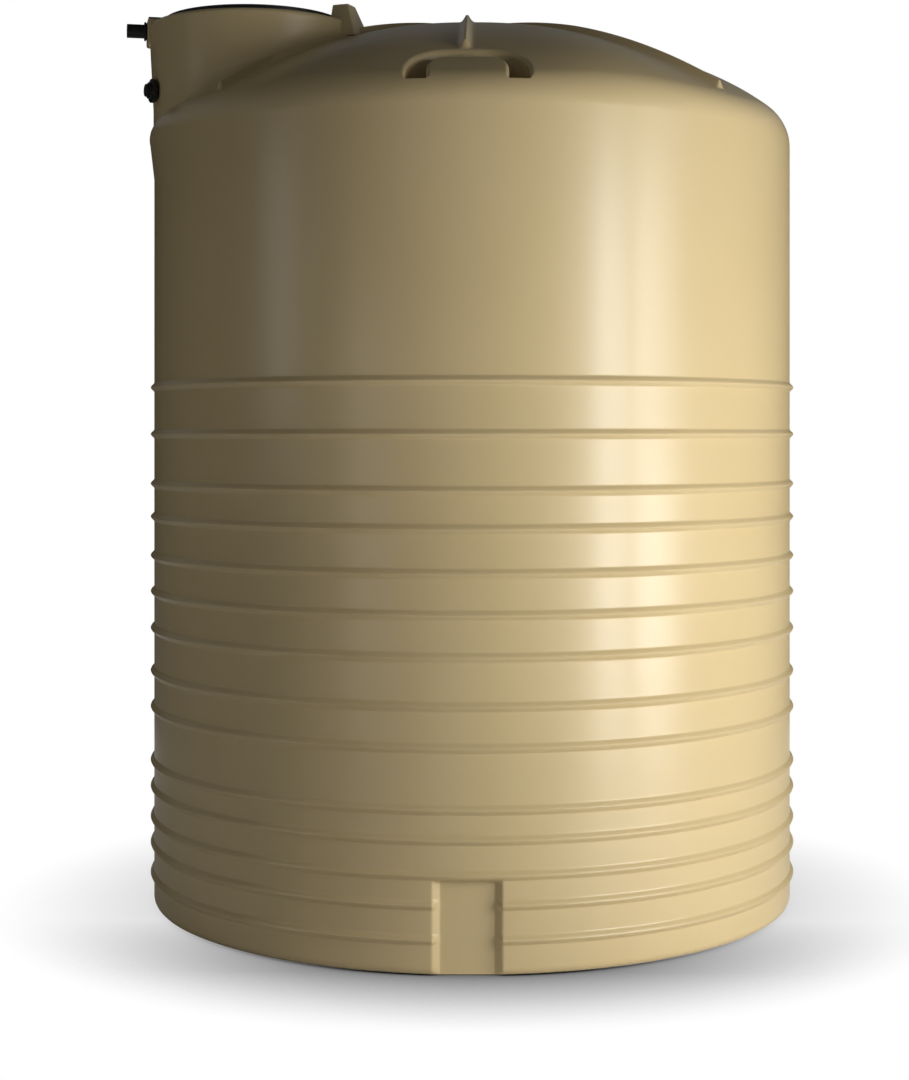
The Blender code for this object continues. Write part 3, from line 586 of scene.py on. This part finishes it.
# %% Liner
def lathe_solid(name, profile, steps, centre=(0.0, 0.0, 0.0)):
    """A solid turned from a profile whose two ends lie on the axis."""
    profile = np.asarray(profile, float)
    azimuth = np.arange(steps) * 2 * np.pi / steps
    inner = profile[1:-1]
    points = place(inner[:, :1], azimuth[None, :], inner[:, 1:]).reshape(-1, 3)
    ends = np.array([[0.0, 0.0, profile[0, 1]], [0.0, 0.0, profile[-1, 1]]])
    return outward(new_piece(name, np.vstack([points, ends]) + centre,
                             capped_faces(len(inner), steps)))


inner = WALL_RADIUS - WALL
FLOOR_CORNER = 0.02
SLOPED_WALL = WALL * 1.12
WELL_FOOT, WELL_WAIST = 2.08, 2.21
arc = np.linspace(np.pi / 2, MEET_TILT, 6)
liner_profile = [(0.0, WALL), (inner - FLOOR_CORNER, WALL), (inner, WALL + FLOOR_CORNER)]
liner_profile += [(inner, height) for height in (0.5, 1.0, 1.5)]
liner_profile += list(zip(WALL_RADIUS - SHOULDER + (SHOULDER - WALL) * np.sin(arc),
                          SHOULDER_HEIGHT + (SHOULDER - WALL) * np.cos(arc)))
liner_profile += [(radius, roof_height(radius) - SLOPED_WALL) for radius in (0.7, 0.5, 0.3, 0.1)]
liner_profile.append((0.0, CROWN - WALL))
liner = lathe_solid("liner", liner_profile, 96)
well = lathe_solid("well", [(0.0, WELL_FOOT), (FOOT_RADIUS - WALL - 0.03, WELL_FOOT),
                            (FOOT_RADIUS - WALL, WELL_WAIST), (RIM_RADIUS - WALL, RIM - WALL),
                            (0.0, RIM - WALL)], 96, NECK_CENTRE)
side, back, top = PANEL_HALF + PANEL_RAMP + WALL, PANEL_FACE - WALL, PANEL_TOP + WALL
block_points = [(x, y, z) for z in (-0.05, top) for x, y in (
    (-side, -0.95), (side, -0.95), (side, -back), (-side, -back))]
panel_back = outward(new_piece("panel_back", block_points, BOX_FACES))

# %% Hollow shell
combine(liner, panel_back, "DIFFERENCE")
combine(liner, well, "UNION")
combine(liner, groove_cutter(WALL), "DIFFERENCE")
combine(shell, liner, "DIFFERENCE")
shell.data.shade_smooth()
shell.data.set_sharp_from_angle(angle=math.radians(EDGE_ANGLE))
weights = shell.modifiers.new("weights", "WEIGHTED_NORMAL")
weights.keep_sharp = True
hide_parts("tank_body")
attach(shell, "root")


# %% [markdown]
# Strainer
#
# The leaf strainer is one black moulding that hangs in the neck's mouth: a flange with an upstand,
# a basket with windows, and a lip that carries a disc of woven wire under a clamp ring. Turned
# profiles with rounded edges make the rings, and bent blocks make the posts between the windows.

# %% Strainer sizes
GAP = 0.0003
SEAT = RIM + GAP
FLANGE, FLANGE_THICK = 0.250, 0.005
UPSTAND, UPSTAND_THICK = 0.0165, 0.008
BASKET = 0.217
BASKET_WALL = 0.004
BASKET_FLOOR = SEAT - 0.110
BASKET_LIP = 0.022
WINDOWS, WINDOW_SHARE = 12, 0.62
WINDOW_MARGIN = 0.027
TAB_HALF, TAB_THICK = 0.026, 0.005
POST_TURNS, POST_INSET, POST_ROOT = 7, 0.0002, 0.003
CLAMP_SEAT, CLAMP_THICK, CLAMP_WIDE, CLAMP_PLAY = 0.0026, 0.004, 0.018, 0.0009


# %% Rounding, joining and swapping
ROUND_STEPS = 4
FINE = []


def rounded(corners, radius, steps=ROUND_STEPS):
    """A closed profile whose corners become short parabolas: (1-t)^2 A + 2t(1-t) C + t^2 B."""
    corner = np.asarray(corners, float)[:, None, :]
    one, two = np.roll(corner, 1, axis=0) - corner, np.roll(corner, -1, axis=0) - corner
    one_long = np.linalg.norm(one, axis=2, keepdims=True)
    two_long = np.linalg.norm(two, axis=2, keepdims=True)
    cut = np.minimum(radius, 0.45 * np.minimum(one_long, two_long))
    start, end = corner + one / one_long * cut, corner + two / two_long * cut
    share = np.linspace(0.0, 1.0, steps)[None, :, None]
    points = (1 - share) ** 2 * start + 2 * share * (1 - share) * corner + share ** 2 * end
    return points.reshape(-1, 2)


def joined(name, pieces):
    """One object from several closed meshes that touch or overlap."""
    points, faces, start = [], [], 0
    for piece in pieces:
        points.append(points_of(piece.data))
        faces += faces_of(piece.data, start)
        start += len(points[-1])
        bpy.data.objects.remove(piece)
    return new_piece(name, np.vstack(points), faces, EDGE_ANGLE)


def swap(piece, node, slot):
    """Lets a finished piece take the place of a node of the frame."""
    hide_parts(node)
    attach(piece, "root")
    FINE.append((piece, slot))
    print(f"{piece.name}: {len(piece.data.polygons)} faces")


# %% Strainer frame
INSIDE = BASKET - BASKET_WALL
upper = [(INSIDE, SEAT - WINDOW_MARGIN), (INSIDE, SEAT + FLANGE_THICK),
         (FLANGE - UPSTAND_THICK, SEAT + FLANGE_THICK), (FLANGE - UPSTAND_THICK, SEAT + UPSTAND),
         (FLANGE, SEAT + UPSTAND), (FLANGE, SEAT), (BASKET, SEAT), (BASKET, SEAT - WINDOW_MARGIN)]
lower = [(INSIDE, BASKET_FLOOR + WINDOW_MARGIN), (BASKET, BASKET_FLOOR + WINDOW_MARGIN),
         (BASKET, BASKET_FLOOR), (INSIDE - BASKET_LIP, BASKET_FLOOR),
         (INSIDE - BASKET_LIP, BASKET_FLOOR + BASKET_WALL), (INSIDE, BASKET_FLOOR + BASKET_WALL)]
moulding = [turned("upper", rounded(upper, 0.0022), 160, NECK_CENTRE),
            turned("lower", rounded(lower, 0.0015), 160, NECK_CENTRE)]


def post(azimuth, half):
    """A curved post of the basket: a bent block between two azimuths."""
    turns = azimuth + np.linspace(-half, half, POST_TURNS)
    around = np.concatenate([turns, turns[::-1]])
    reach = np.repeat([INSIDE + POST_INSET, BASKET - POST_INSET], POST_TURNS)
    levels = np.array([[BASKET_FLOOR + WINDOW_MARGIN - POST_ROOT],
                       [SEAT - WINDOW_MARGIN + POST_ROOT]])
    points = NECK_CENTRE + place(reach[None, :], around[None, :], levels)
    count = len(around)
    quads = [[j, (j + 1) % count, count + (j + 1) % count, count + j] for j in range(count)]
    for j in range(POST_TURNS - 1):
        quads.append([j, j + 1, count - 2 - j, count - 1 - j])
        quads.append([count + j + 1, count + j, 2 * count - 1 - j, 2 * count - 2 - j])
    return outward(new_piece("post", points, quads))


half_post = math.pi / WINDOWS * (1.0 - WINDOW_SHARE)
moulding += [post(NECK_AZIMUTH + 2 * math.pi * i / WINDOWS, half_post) for i in range(WINDOWS)]
moulding.append(neck_block("tab", NECK_AZIMUTH, TAB_HALF, FLANGE - 0.004, HOUSING_REACH - 0.003,
                           HOUSING_TOP + GAP, HOUSING_TOP + GAP + TAB_THICK, 0.0, 0.0015))
swap(joined("leaf_strainer", moulding), "strainer_frame", "black_polypropylene")

# %% Clamp ring
clamp_low = BASKET_FLOOR + BASKET_WALL + CLAMP_SEAT
clamp_high = clamp_low + CLAMP_THICK
clamp_outer = INSIDE - CLAMP_PLAY
clamp_inner = clamp_outer - CLAMP_WIDE
clamp = turned("clamp_ring", rounded([(clamp_inner, clamp_high), (clamp_outer, clamp_high),
                                      (clamp_outer, clamp_low), (clamp_inner, clamp_low)], 0.001),
               144, NECK_CENTRE)
swap(clamp, "mesh_clamp_ring", "black_polypropylene")


# %% [markdown]
# Woven mesh
#
# The basket's floor is stainless wire cloth in plain weave, which keeps leaves and insects out.
# Each wire is a thin tube whose axis is a cosine, so it passes over one crossing wire and under
# the next. Real cloth is woven much finer. It is drawn at a pitch of 8.4 mm, with wire 1 mm
# thick, so that the weave still shows and the piece stays light.

# %% Woven mesh
MESH_PITCH = 0.0084
WIRE_RADIUS = 0.0005
CLOTH_HALF = 0.0009
MESH_RADIUS = 0.2115
MESH_LEVEL = BASKET_FLOOR + BASKET_WALL + GAP + CLOTH_HALF


def woven_disc(name, centre, radius, level, pitch, wire, sides=6, per_cell=2):
    """Plain weave in a disc: each wire is a tube on a cosine that passes over and under in turn."""
    points, quads, start = [], [], 0
    count = int(radius / pitch)
    ring_turn = np.arange(sides) * 2 * np.pi / sides
    for direction in (0, 1):
        for line in range(-count, count + 1):
            offset = line * pitch
            reach = math.sqrt(max(radius ** 2 - offset ** 2, 0.0))
            cells = max(int(reach / pitch), 1)
            along = np.linspace(-cells, cells, 2 * cells * per_cell + 1) * pitch
            phase = np.pi * (along / pitch) + np.pi * (line + direction)
            height = level + wire * 0.9 * np.cos(phase)
            side = offset + wire * np.cos(ring_turn)[None, :]
            rise = height[:, None] + wire * np.sin(ring_turn)[None, :]
            run = np.broadcast_to(along[:, None], rise.shape)
            side = np.broadcast_to(side, rise.shape)
            tube = np.stack([run, side, rise] if direction == 0 else [side, run, rise], axis=-1)
            quads += grid_faces(len(along), sides, start)
            first = list(range(start, start + sides))
            final = [index + (len(along) - 1) * sides for index in first]
            quads += [first[::-1], final]
            # swapping x and y mirrors a tube, so its rings run backwards to face outwards again
            if direction == 1:
                tube = tube[::-1]
            points.append(tube.reshape(-1, 3))
            start += len(along) * sides
    return outward(new_piece(name, np.vstack(points) + centre, quads, 60.0))


mesh_disc = woven_disc("wire_mesh", NECK_CENTRE, MESH_RADIUS, MESH_LEVEL, MESH_PITCH, WIRE_RADIUS)
swap(mesh_disc, "strainer_mesh", "stainless_steel")


# %% [markdown]
# Screws
#
# Six stainless screws hold the strainer's flange down on the rim, with shanks that go through it
# into the moulding. A pan head is a low dome over a short side, so each screw is one profile
# turned about its own upright axis. The drive recess is left out, because it is too small to see.

# %% Screws
SCREWS = 6
SCREW_CIRCLE = 0.231
SCREW_SEAT = RIM + FLANGE_THICK + 2 * GAP
HEAD_RADIUS, HEAD_SIDE, HEAD_DOME = 0.0060, 0.0014, 0.0021
SHANK_RADIUS, SHANK_LENGTH = 0.0025, 0.018


def screw(name, azimuth):
    """Dome of (R sin(t)^0.8, side + dome cos t), then the side, the underside and the shank."""
    shank_end = SCREW_SEAT - SHANK_LENGTH
    dome = [(HEAD_RADIUS * math.sin(tilt) ** 0.8, SCREW_SEAT + HEAD_SIDE + HEAD_DOME * math.cos(tilt))
            for tilt in np.linspace(0.12, np.pi / 2, 6)]
    profile = [(0.0, SCREW_SEAT + HEAD_SIDE + HEAD_DOME), *dome, (HEAD_RADIUS, SCREW_SEAT),
               (SHANK_RADIUS, SCREW_SEAT), (SHANK_RADIUS, shank_end), (0.0, shank_end)]
    return lathe_solid(name, profile, 24, NECK_CENTRE + place(SCREW_CIRCLE, azimuth, 0.0))


for number in range(1, SCREWS + 1):
    turn = NECK_AZIMUTH + 2 * math.pi * (number - 0.5) / SCREWS
    swap(screw(f"pan_screw_{number}", turn), f"strainer_screw_{number}", "stainless_steel")


# %% [markdown]
# Overflow pipe and capped fitting
#
# A black overflow pipe leaves the housing, and lower on the neck a bulkhead fitting is closed by a
# cap. All three are round about an axis that points straight out of the neck, so each is a profile
# of (radius, reach) turned about that axis. The rubber rings under their flanges and the locknuts
# inside the neck are the frame's own pieces.

# %% Turning about an axis out of the neck
def on_neck(name, profile, azimuth, seat, height, steps=64):
    """A closed profile of (radius, reach) turned about an axis that points out of the neck."""
    out = place(1.0, azimuth, 0.0)
    side = np.array([math.cos(azimuth), math.sin(azimuth), 0.0])
    turn = np.arange(steps) * 2 * np.pi / steps
    across, up = np.cos(turn)[None, :, None], np.sin(turn)[None, :, None]
    radius, reach = profile[:, 0][:, None, None], profile[:, 1][:, None, None]
    points = (NECK_CENTRE + np.array([0.0, 0.0, height]) + out * (seat + reach)
              + side * radius * across + np.array([0.0, 0.0, 1.0]) * radius * up)
    return outward(new_piece(name, points, grid_faces(len(profile), steps, round_rows=True),
                             EDGE_ANGLE))


# %% Overflow pipe
RING = 0.0026
SPIGOT_HEIGHT = 2.4237
SPIGOT_PIPE, SPIGOT_BORE, SPIGOT_REACH = 0.019, 0.016, 0.055
SPIGOT_FLANGE, SPIGOT_FRONT = 0.026, 0.0076
SPIGOT_SHANK, SPIGOT_THROAT, SPIGOT_DEPTH = 0.014, 0.011, 0.0196
BORE_STEP = 0.006
spigot_profile = [(SPIGOT_BORE, SPIGOT_REACH), (SPIGOT_PIPE, SPIGOT_REACH),
                  (SPIGOT_PIPE, SPIGOT_FRONT), (SPIGOT_FLANGE, SPIGOT_FRONT),
                  (SPIGOT_FLANGE, RING), (SPIGOT_SHANK, RING), (SPIGOT_SHANK, -SPIGOT_DEPTH),
                  (SPIGOT_THROAT, -SPIGOT_DEPTH), (SPIGOT_THROAT, SPIGOT_FRONT),
                  (SPIGOT_BORE, SPIGOT_FRONT + BORE_STEP)]
spigot = on_neck("spigot_pipe", rounded(spigot_profile, 0.0012), NECK_AZIMUTH, HOUSING_REACH,
                 SPIGOT_HEIGHT)
swap(spigot, "overflow_spigot", "black_polypropylene")

# %% Bulkhead fitting
FITTING_AZIMUTH = math.radians(-64.0)
FITTING_SEAT, FITTING_HEIGHT = 0.2865, 2.249
FITTING_BORE, FITTING_HUB, FITTING_REACH = 0.0125, 0.0225, 0.020
FITTING_FLANGE, FITTING_FRONT = 0.033, 0.0116
FITTING_SHANK, FITTING_DEPTH = 0.019, 0.0226
fitting_profile = [(FITTING_BORE, FITTING_REACH), (FITTING_HUB, FITTING_REACH),
                   (FITTING_HUB, FITTING_FRONT), (FITTING_FLANGE, FITTING_FRONT),
                   (FITTING_FLANGE, RING), (FITTING_SHANK, RING), (FITTING_SHANK, -FITTING_DEPTH),
                   (FITTING_BORE, -FITTING_DEPTH)]
fitting = on_neck("bulkhead_fitting", rounded(fitting_profile, 0.0022), FITTING_AZIMUTH,
                  FITTING_SEAT, FITTING_HEIGHT)
swap(fitting, "fitting_body", "black_polypropylene")

# %% Cap in the fitting
CAP_HEAD, CAP_TOP = 0.0175, 0.0272
CAP_SEAT, CAP_SHANK = FITTING_REACH + GAP, FITTING_BORE - GAP
cap_profile = rounded([(0.0, CAP_TOP), (CAP_HEAD, CAP_TOP), (CAP_HEAD, CAP_SEAT),
                       (CAP_SHANK, CAP_SEAT), (CAP_SHANK, GAP), (0.0, GAP)], 0.0018)
cap_profile = np.vstack([[0.0, CAP_TOP], cap_profile[ROUND_STEPS:-ROUND_STEPS], [0.0, GAP]])
upright = lathe_solid("upright_cap", cap_profile, 48)
turn_out = np.array([place(1.0, FITTING_AZIMUTH + np.pi / 2, 0.0), [0.0, 0.0, 1.0],
                     place(1.0, FITTING_AZIMUTH, 0.0)])
spots = points_of(upright.data) @ turn_out
spots += NECK_CENTRE + place(FITTING_SEAT, FITTING_AZIMUTH, FITTING_HEIGHT)
cap = outward(new_piece("fitting_cap", spots, faces_of(upright.data)))
bpy.data.objects.remove(upright)
swap(cap, "fitting_plug", "black_polypropylene")


# %% [markdown]
# Camera
#
# The photograph looks level at the tank from a little under five metres in front of its wall. Its
# horizon lies above the picture's middle, so the camera keeps level and its view is shifted down,
# and a little sideways. Both shifts are in pixels of the photograph.

# %% Camera
IMAGE_HEIGHT = 1080.0
FOCAL_PIXELS = 1960.0
VIEW_DISTANCE = 5.625
EYE_HEIGHT = 1.309
VIEW_TURN = math.radians(0.72)
SIDE_SHIFT, DOWN_SHIFT = 17.5, 106.0
lens = bpy.data.cameras.new("camera")
lens.sensor_width = 36.0
lens.lens = FOCAL_PIXELS / IMAGE_HEIGHT * lens.sensor_width
lens.shift_x = -SIDE_SHIFT / IMAGE_HEIGHT
lens.shift_y = -DOWN_SHIFT / IMAGE_HEIGHT
camera = bpy.data.objects.new("camera", lens)
bpy.context.scene.collection.objects.link(camera)
camera.location = place(VIEW_DISTANCE, VIEW_TURN, EYE_HEIGHT)
camera.rotation_euler = (math.pi / 2, 0.0, VIEW_TURN)
bpy.context.scene.camera = camera
print("camera at", tuple(round(value, 3) for value in camera.location))


# %% [markdown]
# Materials
#
# A material is a small graph of nodes around the Principled shader. One helper adds a node with
# its settings and links. Colours are written as sRGB hex, as a picture editor shows them, and
# turned to linear once.

# %% Material helpers
def linear(code):
    """An sRGB hex colour as linear RGBA."""
    parts = np.array([int(code[i:i + 2], 16) for i in (1, 3, 5)]) / 255.0
    values = np.where(parts <= 0.04045, parts / 12.92, ((parts + 0.055) / 1.055) ** 2.4)
    return (*values.tolist(), 1.0)


def start_material(name):
    """A new material, its node tree and its Principled shader."""
    made = bpy.data.materials.new(name)
    made.use_nodes = True
    return made, made.node_tree, made.node_tree.nodes["Principled BSDF"]


def add_node(tree, kind, settings=(), links=()):
    """Adds a node; settings name its properties or inputs, links join sockets to its inputs."""
    node = tree.nodes.new(kind)
    for key, value in dict(settings).items():
        if isinstance(key, str) and hasattr(node, key):
            setattr(node, key, value)
        else:
            node.inputs[key].default_value = value
    for key, socket in dict(links).items():
        tree.links.new(socket, node.inputs[key])
    return node


# %% [markdown]
# Rotomoulded polyethylene
#
# The tank is polyethylene powder that melted in a turning mould. That gives a satin skin, pimpled
# like orange peel and a little cloudy. The clouds are about half a metre across and change colour
# and roughness only slightly. The peel has 260 cells to a metre, so each is about 4 mm wide.

# %% Rotomoulded polyethylene
def polyethylene():
    """Clouds mix two close beiges and move the roughness; the peel is a bump of 0.6 mm at 10%."""
    made, tree, shader = start_material("rotomoulded_polyethylene")
    shader.inputs["IOR"].default_value = 1.51
    spot = add_node(tree, "ShaderNodeTexCoord").outputs["Object"]
    cloud = add_node(tree, "ShaderNodeTexNoise", {"Scale": 2.2, "Detail": 3.0, "Roughness": 0.5},
                     {"Vector": spot})
    shade = add_node(tree, "ShaderNodeMixRGB", {"Color1": linear("#c6b184"),
                                                "Color2": linear("#cbb78b")},
                     {"Fac": cloud.outputs["Fac"]})
    tree.links.new(shade.outputs["Color"], shader.inputs["Base Color"])
    sheen = add_node(tree, "ShaderNodeMapRange", {"To Min": 0.25, "To Max": 0.35},
                     {"Value": cloud.outputs["Fac"]})
    tree.links.new(sheen.outputs["Result"], shader.inputs["Roughness"])
    peel = add_node(tree, "ShaderNodeTexNoise", {"Scale": 260.0, "Detail": 2.0}, {"Vector": spot})
    fine = add_node(tree, "ShaderNodeBump", {"Strength": 0.10, "Distance": 0.0006},
                    {"Height": peel.outputs["Fac"]})
    tree.links.new(fine.outputs["Normal"], shader.inputs["Normal"])
    return made


# %% [markdown]
# Black polypropylene and rubber
#
# The strainer, the pipe and the fitting are injection-moulded polypropylene, and the rings are
# moulded EPDM rubber. Their moulds were spark-eroded, which leaves a fine grain that breaks the
# gloss. The real grain is under a tenth of a millimetre. It is drawn 1 to 2 mm wide, so it shows.

# %% Black polypropylene and rubber
def moulded_black(name, code, roughness, grain):
    """One dark colour; a noise of so many grains to a metre moves the roughness and the bump."""
    made, tree, shader = start_material(name)
    shader.inputs["Base Color"].default_value = linear(code)
    shader.inputs["IOR"].default_value = 1.49
    spot = add_node(tree, "ShaderNodeTexCoord").outputs["Object"]
    noise = add_node(tree, "ShaderNodeTexNoise", {"Scale": grain, "Detail": 3.0}, {"Vector": spot})
    rough = add_node(tree, "ShaderNodeMapRange", {"To Min": roughness - 0.05,
                                                  "To Max": roughness + 0.05},
                     {"Value": noise.outputs["Fac"]})
    tree.links.new(rough.outputs["Result"], shader.inputs["Roughness"])
    bump = add_node(tree, "ShaderNodeBump", {"Strength": 0.15, "Distance": 0.0004},
                    {"Height": noise.outputs["Fac"]})
    tree.links.new(bump.outputs["Normal"], shader.inputs["Normal"])
    return made


# %% [markdown]
# Stainless steel
#
# The mesh is drawn stainless wire, and the screws are headed from it, so both are bright with faint
# drawing marks. A metal keeps the default IOR. The real marks are too fine to show, so patches of
# two close greys, 2.5 mm wide, stand for them.

# %% Stainless steel
def drawn_steel():
    """Two close greys mixed by a fine noise, fully metallic, at one roughness."""
    made, tree, shader = start_material("drawn_stainless_steel")
    shader.inputs["Metallic"].default_value = 1.0
    spot = add_node(tree, "ShaderNodeTexCoord").outputs["Object"]
    noise = add_node(tree, "ShaderNodeTexNoise", {"Scale": 400.0, "Detail": 2.0}, {"Vector": spot})
    shade = add_node(tree, "ShaderNodeMixRGB", {"Color1": linear("#a9a9a6"),
                                                "Color2": linear("#c4c4c0")},
                     {"Fac": noise.outputs["Fac"]})
    tree.links.new(shade.outputs["Color"], shader.inputs["Base Color"])
    shader.inputs["Roughness"].default_value = 0.32
    return made


# %% [markdown]
# Dressing the pieces
#
# The record names one material slot for each node. The frame's own pieces that stay in view, such
# as the rubber rings and the nuts, get their finish the same way as the new ones.

# %% Dressing the pieces
FINISHES = {"beige_polyethylene": polyethylene(),
            "black_polypropylene": moulded_black("moulded_polypropylene", "#171715", 0.45, 900.0),
            "black_rubber": moulded_black("moulded_epdm_rubber", "#1d1d1c", 0.75, 500.0),
            "stainless_steel": drawn_steel()}


def dress(piece, slot):
    """Gives a piece the finish of its slot in place of any that it had."""
    piece.data.materials.clear()
    piece.data.materials.append(FINISHES[slot])


dress(shell, "beige_polyethylene")
for part in frame["record"]["subparts"]:
    dress(frame["nodes"][part["node"]], part["material_slot"])
for piece, slot in FINE:
    dress(piece, slot)


# %% [markdown]
# Floor
#
# The background is white. Camera rays see a floor that glows white, and the soft contact shadow is
# painted into that glow: the glow is dimmed where the tank stands close and hides the sky. In the
# photograph that shadow is deepest in front of the tank, so the painted shadow is also weakened by
# position, and beside and behind it about a third of it is left.

# %% Floor
SHADOW_REACH, SHADOW_POWER = 0.46, 2.2
PAINTED_SHADOW_FADES = {"From Min": -0.35, "From Max": -0.85, "To Min": 0.35, "To Max": 1.0}
FLOOR_HALF = 14.0
FLOOR_LEVEL = -0.001


def floor_material():
    """Camera rays see a glow of 1 - s + s (open sky)^power, a painted shadow with s larger in front;
    others a pale floor.
    """
    made, tree, shader = start_material("studio_floor")
    shader.inputs["Base Color"].default_value = (0.80, 0.80, 0.80, 1.0)
    shader.inputs["Roughness"].default_value = 0.9
    open_sky = add_node(tree, "ShaderNodeAmbientOcclusion", {"samples": 16, "Distance": SHADOW_REACH})
    deepened = add_node(tree, "ShaderNodeMath", {"operation": "POWER", 1: SHADOW_POWER},
                        {0: open_sky.outputs["AO"]})
    spot = add_node(tree, "ShaderNodeTexCoord").outputs["Object"]
    depth = add_node(tree, "ShaderNodeSeparateXYZ", {}, {0: spot}).outputs["Y"]
    # the painted shadow's strength follows the floor's forward position: full in front, a third
    # beside and behind
    share = add_node(tree, "ShaderNodeMapRange", PAINTED_SHADOW_FADES, {"Value": depth})
    painted_shadow = add_node(tree, "ShaderNodeMix", {"data_type": "FLOAT", 2: 1.0},
                      {0: share.outputs["Result"], 3: deepened.outputs["Value"]})
    # the camera-ray glow, dimmed by the painted shadow
    glow = add_node(tree, "ShaderNodeEmission", {"Color": (1.0, 1.0, 1.0, 1.0)},
                    {"Strength": painted_shadow.outputs[0]})
    seen = add_node(tree, "ShaderNodeLightPath").outputs["Is Camera Ray"]
    mixed = add_node(tree, "ShaderNodeMixShader", {}, {0: seen, 1: shader.outputs["BSDF"],
                                                       2: glow.outputs["Emission"]})
    out = tree.nodes["Material Output"]
    tree.links.new(mixed.outputs["Shader"], out.inputs["Surface"])
    return made


corners = [(-FLOOR_HALF, -FLOOR_HALF, FLOOR_LEVEL), (FLOOR_HALF, -FLOOR_HALF, FLOOR_LEVEL),
           (FLOOR_HALF, FLOOR_HALF, FLOOR_LEVEL), (-FLOOR_HALF, FLOOR_HALF, FLOOR_LEVEL)]
floor = new_piece("floor", corners, [[0, 1, 2, 3]])
floor.data.materials.append(floor_material())
print("floor:", 2 * FLOOR_HALF, "m square")


# %% [markdown]
# Light
#
# Most light comes from the right. Two tall strips draw the bright band that runs down the wall,
# and panels beside them, low and high, spread it. Two weak panels stand at the left. The two
# behind light the back, and reflections leave them out, because seen from the front they would
# only streak the shell's edges. Each row is a name, an azimuth in degrees, the middle's height,
# the width, the length and the power in watts.

# %% Lights
def softbox(name, azimuth, distance, height, width, tall, power):
    """A rectangular lamp that faces the tank's axis at its own height."""
    data = bpy.data.lights.new(name, "AREA")
    data.shape = "RECTANGLE"
    data.size = width
    data.size_y = tall
    data.energy = power
    lamp = bpy.data.objects.new(name, data)
    bpy.context.scene.collection.objects.link(lamp)
    turn = math.radians(azimuth)
    lamp.location = place(distance, turn, height)
    lamp.rotation_euler = (math.pi / 2, 0.0, turn)
    return lamp


LAMPS = [("key_strip", 42.0, 1.25, 0.28, 2.3, 43.0), ("edge_strip", 54.0, 1.25, 0.28, 2.3, 22.0),
         ("right_low", 60.0, 0.70, 0.75, 1.1, 24.0), ("right_high", 60.0, 1.90, 0.75, 1.1, 12.0),
         ("front_right_low", 34.0, 0.70, 0.75, 1.1, 3.0),
         ("front_right_high", 34.0, 1.90, 0.75, 1.1, 4.0),
         ("front_left", -32.0, 1.00, 0.75, 1.7, 4.4), ("left_high", -60.0, 1.90, 0.75, 1.1, 4.0),
         ("back_right", 152.0, 1.25, 0.90, 2.2, 26.0), ("back_left", 206.0, 1.25, 0.90, 2.2, 26.0)]
LAMP_DISTANCE = 3.65
for name, azimuth, height, width, tall, power in LAMPS:
    lamp = softbox(name, azimuth, LAMP_DISTANCE, height, width, tall, power)
    lamp.visible_glossy = not name.startswith("back")
print("lamps:", len(LAMPS), "with", sum(row[-1] for row in LAMPS), "W in all")


# %% [markdown]
# World
#
# The world is black up to about 13 degrees above the horizon, grey between about 16 and 34, and
# dim overhead, so that the roof reflects little. Each pair of SKY_LEVELS is the upward share of a
# direction and the strength there. Camera rays see plain white instead.

# %% World
SKY_LEVELS = [(0.0, 0.0), (0.22, 0.0), (0.28, 0.157), (0.56, 0.157), (0.64, 0.031), (1.0, 0.031)]
world = bpy.data.worlds.new("studio")
bpy.context.scene.world = world
world.use_nodes = True
tree = world.node_tree
direction = add_node(tree, "ShaderNodeTexCoord").outputs["Generated"]
parts = add_node(tree, "ShaderNodeSeparateXYZ", {}, {0: direction})
sky = add_node(tree, "ShaderNodeValToRGB", {}, {"Fac": parts.outputs["Z"]})
for position, level in SKY_LEVELS[1:-1]:
    sky.color_ramp.elements.new(position)
for element, (position, level) in zip(sky.color_ramp.elements, SKY_LEVELS):
    element.position = position
    element.color = (level, level, level, 1.0)
seen = add_node(tree, "ShaderNodeLightPath").outputs["Is Camera Ray"]
strength = add_node(tree, "ShaderNodeMix", {"data_type": "FLOAT", 3: 1.0},
                    {0: seen, 2: sky.outputs["Color"]})
background = tree.nodes["Background"]
background.inputs["Color"].default_value = (1.0, 1.0, 1.0, 1.0)
tree.links.new(strength.outputs[0], background.inputs["Strength"])
bpy.context.scene.view_settings.view_transform = "Standard"
print("sky levels:", len(SKY_LEVELS))
